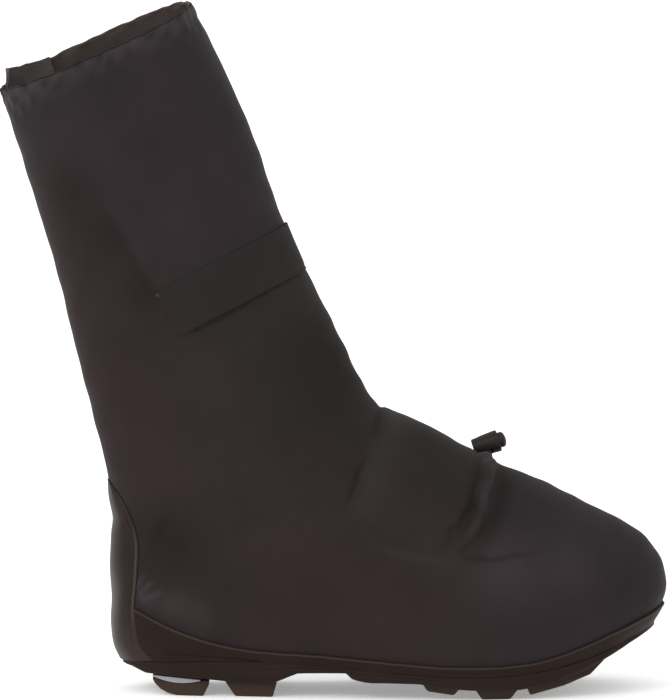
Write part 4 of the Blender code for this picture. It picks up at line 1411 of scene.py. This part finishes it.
end_angle, end_v = band_place(STRAP, np.array(STRAP_TACK[0]), np.array(STRAP_TACK[1] * STRAP.half))
tacks = make_stitches("bar_tacks", [
    *bar_tack(end_angle, end_v, STRAP_SHEET),
    *bar_tack(np.array(TAB_FROM), np.array(TAB_TACK_V), TAB_TACK_LIFT),
])
hand_over(tacks, "strap_fabric")

# %% [markdown]
# ## Tints of the cloth
# Every surface of the shoe is near black, so the finishes differ by gloss, grain and a faint tint more
# than by colour. The cloth is cooler in some places and ruddier in others. Paler tints on its ridges,
# bulges and rim are painted highlights, and darker ones in its creases and hollows are painted shade. A
# noise texture would spread such tints by chance. Here they are broad soft patches, listed in
# millimetres of the side view and mixed into a colour for each vertex, so they stay where the shoe has them.

# %% Patches of tint
COOL = linear("272024")
PLAIN = linear("24201e")
RUDDY = linear("2a1e1f")
# The next two stand in for light: painted shade for creases and hollows, and painted highlight for ridges,
# bulges and the rim
PAINTED_SHADE = linear("140e0e")
PAINTED_HIGHLIGHT = linear("3a3437")
Patch = namedtuple("Patch", "x z radius weight tint")
# The cool, plain and ruddy patches are the cloth's own tone. The dark ones are painted shade in the shaft's
# valley and in the hollows of heel and ankle, and the pale ones are painted highlights on the toe bulge, the
# bulge over the heel's rand, the throat ridge, the vamp and the toe crown.
PATCHES = (
    Patch(25, 292, 55, 1.0, COOL), Patch(55, 255, 40, 1.0, COOL),
    Patch(-18, 232, 34, 1.2, RUDDY), Patch(-2, 160, 40, 1.2, RUDDY), Patch(24, 128, 44, 1.0, RUDDY),
    Patch(-14, 270, 14, 0.7, PAINTED_SHADE), Patch(35, 84, 17, 0.6, PAINTED_SHADE), Patch(113, 172, 28, 0.35, PAINTED_SHADE),
    Patch(0, 243, 12, 0.6, PAINTED_SHADE), Patch(16, 217, 10, 0.4, PAINTED_SHADE),
    Patch(65, 207, 30, 1.0, PLAIN), Patch(76, 146, 36, 0.9, PLAIN), Patch(172, 121, 30, 0.9, PLAIN),
    Patch(105, 55, 48, 1.3, RUDDY), Patch(165, 58, 36, 1.2, RUDDY),
    Patch(250, 55, 48, 1.2, COOL), Patch(215, 68, 16, 0.9, PAINTED_HIGHLIGHT), Patch(245, 69, 14, 0.8, PAINTED_HIGHLIGHT),
    Patch(22, 53, 6, 0.2, PAINTED_HIGHLIGHT), Patch(36, 49, 7, 0.3, PAINTED_HIGHLIGHT), Patch(49, 45, 8, 0.25, PAINTED_HIGHLIGHT),
    Patch(153, 145, 9, 0.3, PAINTED_HIGHLIGHT), Patch(148, 130, 8, 0.25, PAINTED_HIGHLIGHT), Patch(143, 116, 8, 0.25, PAINTED_HIGHLIGHT),
    Patch(138, 102, 8, 0.2, PAINTED_HIGHLIGHT), Patch(176, 80, 14, 0.25, PAINTED_HIGHLIGHT),
    Patch(250, 98, 18, 0.2, PAINTED_HIGHLIGHT),
)
PLAIN_SHARE = 0.3
# Painted highlight on the collar band under the rim, and how far down it reaches
COLLAR_HIGHLIGHT = 1.5
COLLAR_REACH = 9
# Folds this narrow or narrower get painted light and shade: paler crests and darker troughs
FINE_FOLD = 4.6
RELIEF_SHADING = 0.45
# Painted shadow of the gap at the rim: a dark line close under it, from its middle to near its front, in mm
# ahead of the heel
SLIT_SHADOW_DEPTH = 2
SLIT_SHADOW_WIDTH = 0.9
SLIT_SHADOW_IN, SLIT_SHADOW_OUT = (-14, -4), (30, 22)
# Painted highlight in uneven marks on the gathered hem, starting just under the rim
RIM_HIGHLIGHT_FROM = (0.3, 2)
RIM_HIGHLIGHT_SHARE = 0.6
Blotch = namedtuple("Blotch", "step sway sway_step")
BLOTCH_ACROSS = Blotch(2.1, 1.3, 6.7)
BLOTCH_DOWN = Blotch(2.4, 1.1, 4.3)
print("patches of tint", len(PATCHES))


# %% Paint the tints
def below_rim(x, z):
    """How far a place lies under the straight line of the rim in the side view."""
    back, front = COLUMNS[COLLAR][:2] / MM, COLUMNS[COLLAR][2:4] / MM
    return back[1] + (front[1] - back[1]) * (x - back[0]) / (front[0] - back[0]) - z


def blotches(x, below):
    """Uneven marks a few millimetres across, from -1 to 1, that break up the painted highlight on the hem."""
    across, down = (
        np.sin(way / mark.step + mark.sway * np.sin(x / mark.sway_step))
        for way, mark in ((x, BLOTCH_ACROSS), (below, BLOTCH_DOWN))
    )
    return across * down


def tint_shares(place, patches):
    """Each tint and its share at every place: plain cloth, a painted highlight under the rim, painted light
    and shade on the fine folds and the rim's shadow line, and the patches.
    """
    x, z = place[:, 0], place[:, 2]
    below = below_rim(x, z)
    rim_highlight = ease(*RIM_HIGHLIGHT_FROM, below) * RIM_HIGHLIGHT_SHARE * (1 + blotches(x, below))
    slit_shadow = SLIT_SHADOW_DEPTH * np.exp(-((below / SLIT_SHADOW_WIDTH) ** 2)) * ease(*SLIT_SHADOW_IN, x) * ease(*SLIT_SHADOW_OUT, x)
    # Painted light and shade on the fine folds: paler on crests, darker in troughs, in the rim's shadow line
    # and along the strap's edge
    relief = (fold_relief(place, FINE_FOLD) - slit_shadow) * RELIEF_SHADING
    yield PLAIN, np.full(len(x), PLAIN_SHARE)
    # Painted highlight on the collar band, broken into uneven marks
    yield PAINTED_HIGHLIGHT, COLLAR_HIGHLIGHT * np.exp(-((below / COLLAR_REACH) ** 2)) * rim_highlight
    yield PAINTED_HIGHLIGHT, np.clip(relief, 0, 2)
    yield PAINTED_SHADE, np.clip(-relief, 0, 2)
    for patch in patches:
        away = np.hypot(x - patch.x, z - patch.z) / patch.radius
        yield patch.tint, patch.weight * np.exp(-(away**2))


def paint_tint(piece, more=(), dim=1.0):
    """A colour on each vertex, mixed from the tints by their shares, and darkened by dim for painted shade.
    """
    place = (vertex_places(piece) - HEEL) / MM
    mixed, total = np.zeros((len(place), 4)), np.zeros((len(place), 1))
    for tint, share in tint_shares(place, PATCHES + more):
        mixed += share[:, None] * np.array(tint)
        total += share[:, None]
    layer = piece.data.attributes.new("tint", "FLOAT_COLOR", "POINT")
    layer.data.foreach_set("color", (dim * mixed / total).ravel().astype(np.float32))


# Painted shade: the facing's cloth over the rim takes the same tints at less than half their brightness
FACING_SHADE_DIM = 0.4
paint_tint(upper)
paint_tint(facing, dim=FACING_SHADE_DIM)
paint_tint(strap, (Patch(70, 212, 60, 2.0, PLAIN),))
# Painted highlights along the crown of the casing
paint_tint(casing, (
    Patch(204, 130, 8, 1.0, PAINTED_HIGHLIGHT), Patch(200, 108, 7, 0.5, PAINTED_HIGHLIGHT), Patch(194, 92, 5, 0.3, PAINTED_HIGHLIGHT),
))
print("painted", [piece.name for piece in (upper, facing, strap, casing)])

# %% [markdown]
# ## Coated nylon
# The cover and its strap are plain-woven nylon with a thin coating. The coating fills the weave, so what
# the eye gets is a matt black with a soft sheen, a faint weave and a slight crinkle. The weave is two wave
# textures, one for the warp and one for the weft, on the UV map in metres. A picture of cloth would do as
# well, but waves stay sharp at any size. The crinkle is a noise in the relief and in the gloss.

# %% Make coated nylon
# Real threads are about 0.4 mm apart. They are drawn coarser, because finer ones don't show.
THREAD_PITCH = 1.5 * MM
# A wave texture of scale 1 repeats after 2 pi / 20
WAVE_BASE = 20
CLOUDS = 45 * MM
CRINKLE = 9 * MM
GLOSS_DRIFT = 0.08


def coated_nylon(name, roughness):
    """Plain-woven nylon with a thin coating: matt, with a soft sheen and a fine weave."""
    material, tree, shader = new_material(
        name, Sheen_Weight=0.01, Sheen_Roughness=0.5, Specular_IOR_Level=0.1,
    )
    place = add_node(tree, "ShaderNodeTexCoord")
    tint = add_node(tree, "ShaderNodeAttribute", attribute_name="tint")
    patchy = add_node(tree, "ShaderNodeTexNoise", {
        "Vector": place.outputs["Object"], "Scale": 1 / CLOUDS, "Detail": 4,
    })
    shade = add_node(tree, "ShaderNodeMapRange", {
        "Value": patchy.outputs["Fac"], "From Min": 0.3, "From Max": 0.7, "To Min": 0.88, "To Max": 1.12,
    })
    colour = add_node(tree, "ShaderNodeHueSaturation", {
        "Color": tint.outputs["Color"], "Value": shade.outputs[0],
    })
    tree.links.new(colour.outputs["Color"], shader.inputs["Base Color"])

    warp, weft = (
        add_node(tree, "ShaderNodeTexWave", {
            "Vector": place.outputs["UV"], "Scale": 2 * math.pi / (WAVE_BASE * THREAD_PITCH),
            "Distortion": 0.6, "Detail": 1,
        }, wave_type="BANDS", bands_direction=direction)
        for direction in ("X", "Y")
    )
    weave = add_node(
        tree, "ShaderNodeMath", {0: warp.outputs["Fac"], 1: weft.outputs["Fac"]}, operation="MULTIPLY",
    )
    crinkle = add_node(tree, "ShaderNodeTexNoise", {
        "Vector": place.outputs["Object"], "Scale": 1 / CRINKLE, "Detail": 3, "Roughness": 0.5,
    })
    fine = add_node(tree, "ShaderNodeBump", {
        "Height": weave.outputs[0], "Strength": 0.25, "Distance": 0.1 * MM,
    })
    coarse = add_node(tree, "ShaderNodeBump", {
        "Height": crinkle.outputs["Fac"], "Strength": 0.3, "Distance": 0.9 * MM,
        "Normal": fine.outputs["Normal"],
    })
    tree.links.new(coarse.outputs["Normal"], shader.inputs["Normal"])
    gloss = add_node(tree, "ShaderNodeMapRange", {
        "Value": crinkle.outputs["Fac"], "To Min": roughness - GLOSS_DRIFT, "To Max": roughness + GLOSS_DRIFT,
    })
    tree.links.new(gloss.outputs[0], shader.inputs["Roughness"])
    return material


nylon = coated_nylon("coated nylon", 0.66)
webbing = coated_nylon("strap fabric", 0.72)
print("threads drawn", THREAD_PITCH / MM, "mm apart in", nylon.name, "and", webbing.name)

# %% [markdown]
# ## Materials with a grain
# The other surfaces are moulded, braided, brushed or coated. They share one recipe: a colour that drifts
# between two close tones, a gloss that drifts with it, a fine grain in relief and a paler tone set with
# the shape, which is real wear on the treads and a painted highlight on the hems and the heel counter.
# Ten materials of their own would do as well, but they differ only in numbers. A grain finer than about
# half a millimetre doesn't show, so threads, strands and loops are drawn as coarse as the sizes below.

# %% One recipe for grained materials
MOTTLE = 25 * MM
GRAIN_GLOSS_DRIFT = 0.1
Grain = namedtuple("Grain", "size depth strength")


def grained(name, dark, light, roughness, grain, wear_and_highlight_tone=None, **sockets):
    """A surface whose colour and gloss drift a little, with a fine grain in relief and paler places: wear on
    treads, painted highlights on hems.
    """
    material, tree, shader = new_material(name, **sockets)
    place = add_node(tree, "ShaderNodeTexCoord")
    drift = add_node(tree, "ShaderNodeTexNoise", {
        "Vector": place.outputs["Object"], "Scale": 1 / MOTTLE, "Detail": 4,
    })
    colour = add_node(tree, "ShaderNodeMixRGB", {
        "Fac": drift.outputs["Fac"], "Color1": linear(dark), "Color2": linear(light),
    })
    if wear_and_highlight_tone:
        wear_and_highlight = add_node(tree, "ShaderNodeAttribute", attribute_name="wear_and_highlight")
        colour = add_node(tree, "ShaderNodeMixRGB", {
            "Fac": wear_and_highlight.outputs["Fac"], "Color1": colour.outputs["Color"], "Color2": linear(wear_and_highlight_tone),
        })
    tree.links.new(colour.outputs["Color"], shader.inputs["Base Color"])
    gloss = add_node(tree, "ShaderNodeMapRange", {
        "Value": drift.outputs["Fac"],
        "To Min": roughness + GRAIN_GLOSS_DRIFT, "To Max": roughness - GRAIN_GLOSS_DRIFT,
    })
    tree.links.new(gloss.outputs[0], shader.inputs["Roughness"])
    pits = add_node(tree, "ShaderNodeTexNoise", {
        "Vector": place.outputs["Object"], "Scale": 1 / grain.size, "Detail": 2,
    })
    relief = add_node(tree, "ShaderNodeBump", {
        "Height": pits.outputs["Fac"], "Strength": grain.strength, "Distance": grain.depth,
    })
    tree.links.new(relief.outputs["Normal"], shader.inputs["Normal"])
    return material


print("the tones drift over", MOTTLE / MM, "mm")

# %% Grained materials of the shoe
DULL = {"Specular_IOR_Level": 0.2}
# Woven satin: close and smooth, so it looks paler and softer than the coated cloth. Threads of 0.2 mm.
lining = grained("satin lining", "382f2c", "443a36", 0.65, Grain(1.2 * MM, 0.1 * MM, 0.4), **DULL)
# Rubber rolled onto cloth: brown-black and dull with a slight pebble, with a painted highlight along the hem.
rubberised = grained(
    "rubberised fabric", "1b0f08", "22140d", 0.6, Grain(1.4 * MM, 0.15 * MM, 0.4), wear_and_highlight_tone="4c4341",
    Specular_IOR_Level=0.15,
)
# A thick coating on smooth cloth: the glossiest of the cloths, with broad reflections, painted highlights in
# streaks and along the hem, and a paler foot.
glossy = grained(
    "glossy coated fabric", "1f1511", "261b16", 0.42, Grain(2.2 * MM, 0.1 * MM, 0.3), wear_and_highlight_tone="5e5552",
    Specular_IOR_Level=0.12,
)
# Rubber from a textured mould: matt and brown-black, and paler where the treads are rubbed.
rubber = grained(
    "moulded rubber", "1b0f09", "23160f", 0.6, Grain(1.0 * MM, 0.12 * MM, 0.4), wear_and_highlight_tone="3d3026",
    Specular_IOR_Level=0.16,
)
# Foam with a moulded skin: pale and cool, matt, with fine pits.
foam = grained("pale moulded foam", "88848e", "9a969e", 0.7, Grain(0.8 * MM, 0.1 * MM, 0.5))
# Loops brushed up from a knit: they scatter the light, so the tape looks grey and has no gloss at all.
brushed = grained("brushed loop tape", "453f3f", "585151", 0.95, Grain(0.7 * MM, 0.2 * MM, 0.7), **DULL)
# Injection-moulded acetal: smooth and a little waxy, with a soft highlight along the barrel.
acetal = grained("acetal", "1e1917", "26201d", 0.5, Grain(1.5 * MM, 0.05 * MM, 0.2), **DULL)
# Elastic in a braided sleeve: its strands, 0.3 mm wide, break up the light, so it is dull and rough.
braid = grained("braided elastic", "1c1818", "242020", 0.75, Grain(0.6 * MM, 0.2 * MM, 0.8), **DULL)
# Twisted polyester: each stitch has a small broken highlight. The bar tacks' thread is paler.
THREAD_GRAIN = Grain(0.5 * MM, 0.1 * MM, 0.5)
thread = grained("polyester thread", "1d1816", "25201e", 0.6, THREAD_GRAIN, **DULL)
pale_thread = grained("pale polyester thread", "332e2e", "3c3636", 0.6, THREAD_GRAIN, **DULL)
GRAINED = (lining, rubberised, glossy, rubber, foam, brushed, acetal, braid, thread, pale_thread)
print("materials", [material.name for material in GRAINED])

# %% Put the materials on
FINISHES = (
    (upper, nylon), (lining_sheet, lining), (casing, nylon), (facing, lining, nylon),
    (rand, rubberised), (counter, glossy), (strap, webbing), (tab, brushed),
    (outsole, rubber), (heel_lug, rubber), (wedge, foam),
    (barrel, acetal), (plunger, acetal), (cord, braid), (stitches, thread), (tacks, pale_thread),
)
for piece, *materials in FINISHES:
    for material in materials:
        piece.data.materials.append(material)
print("finished pieces", len(FINISHES))
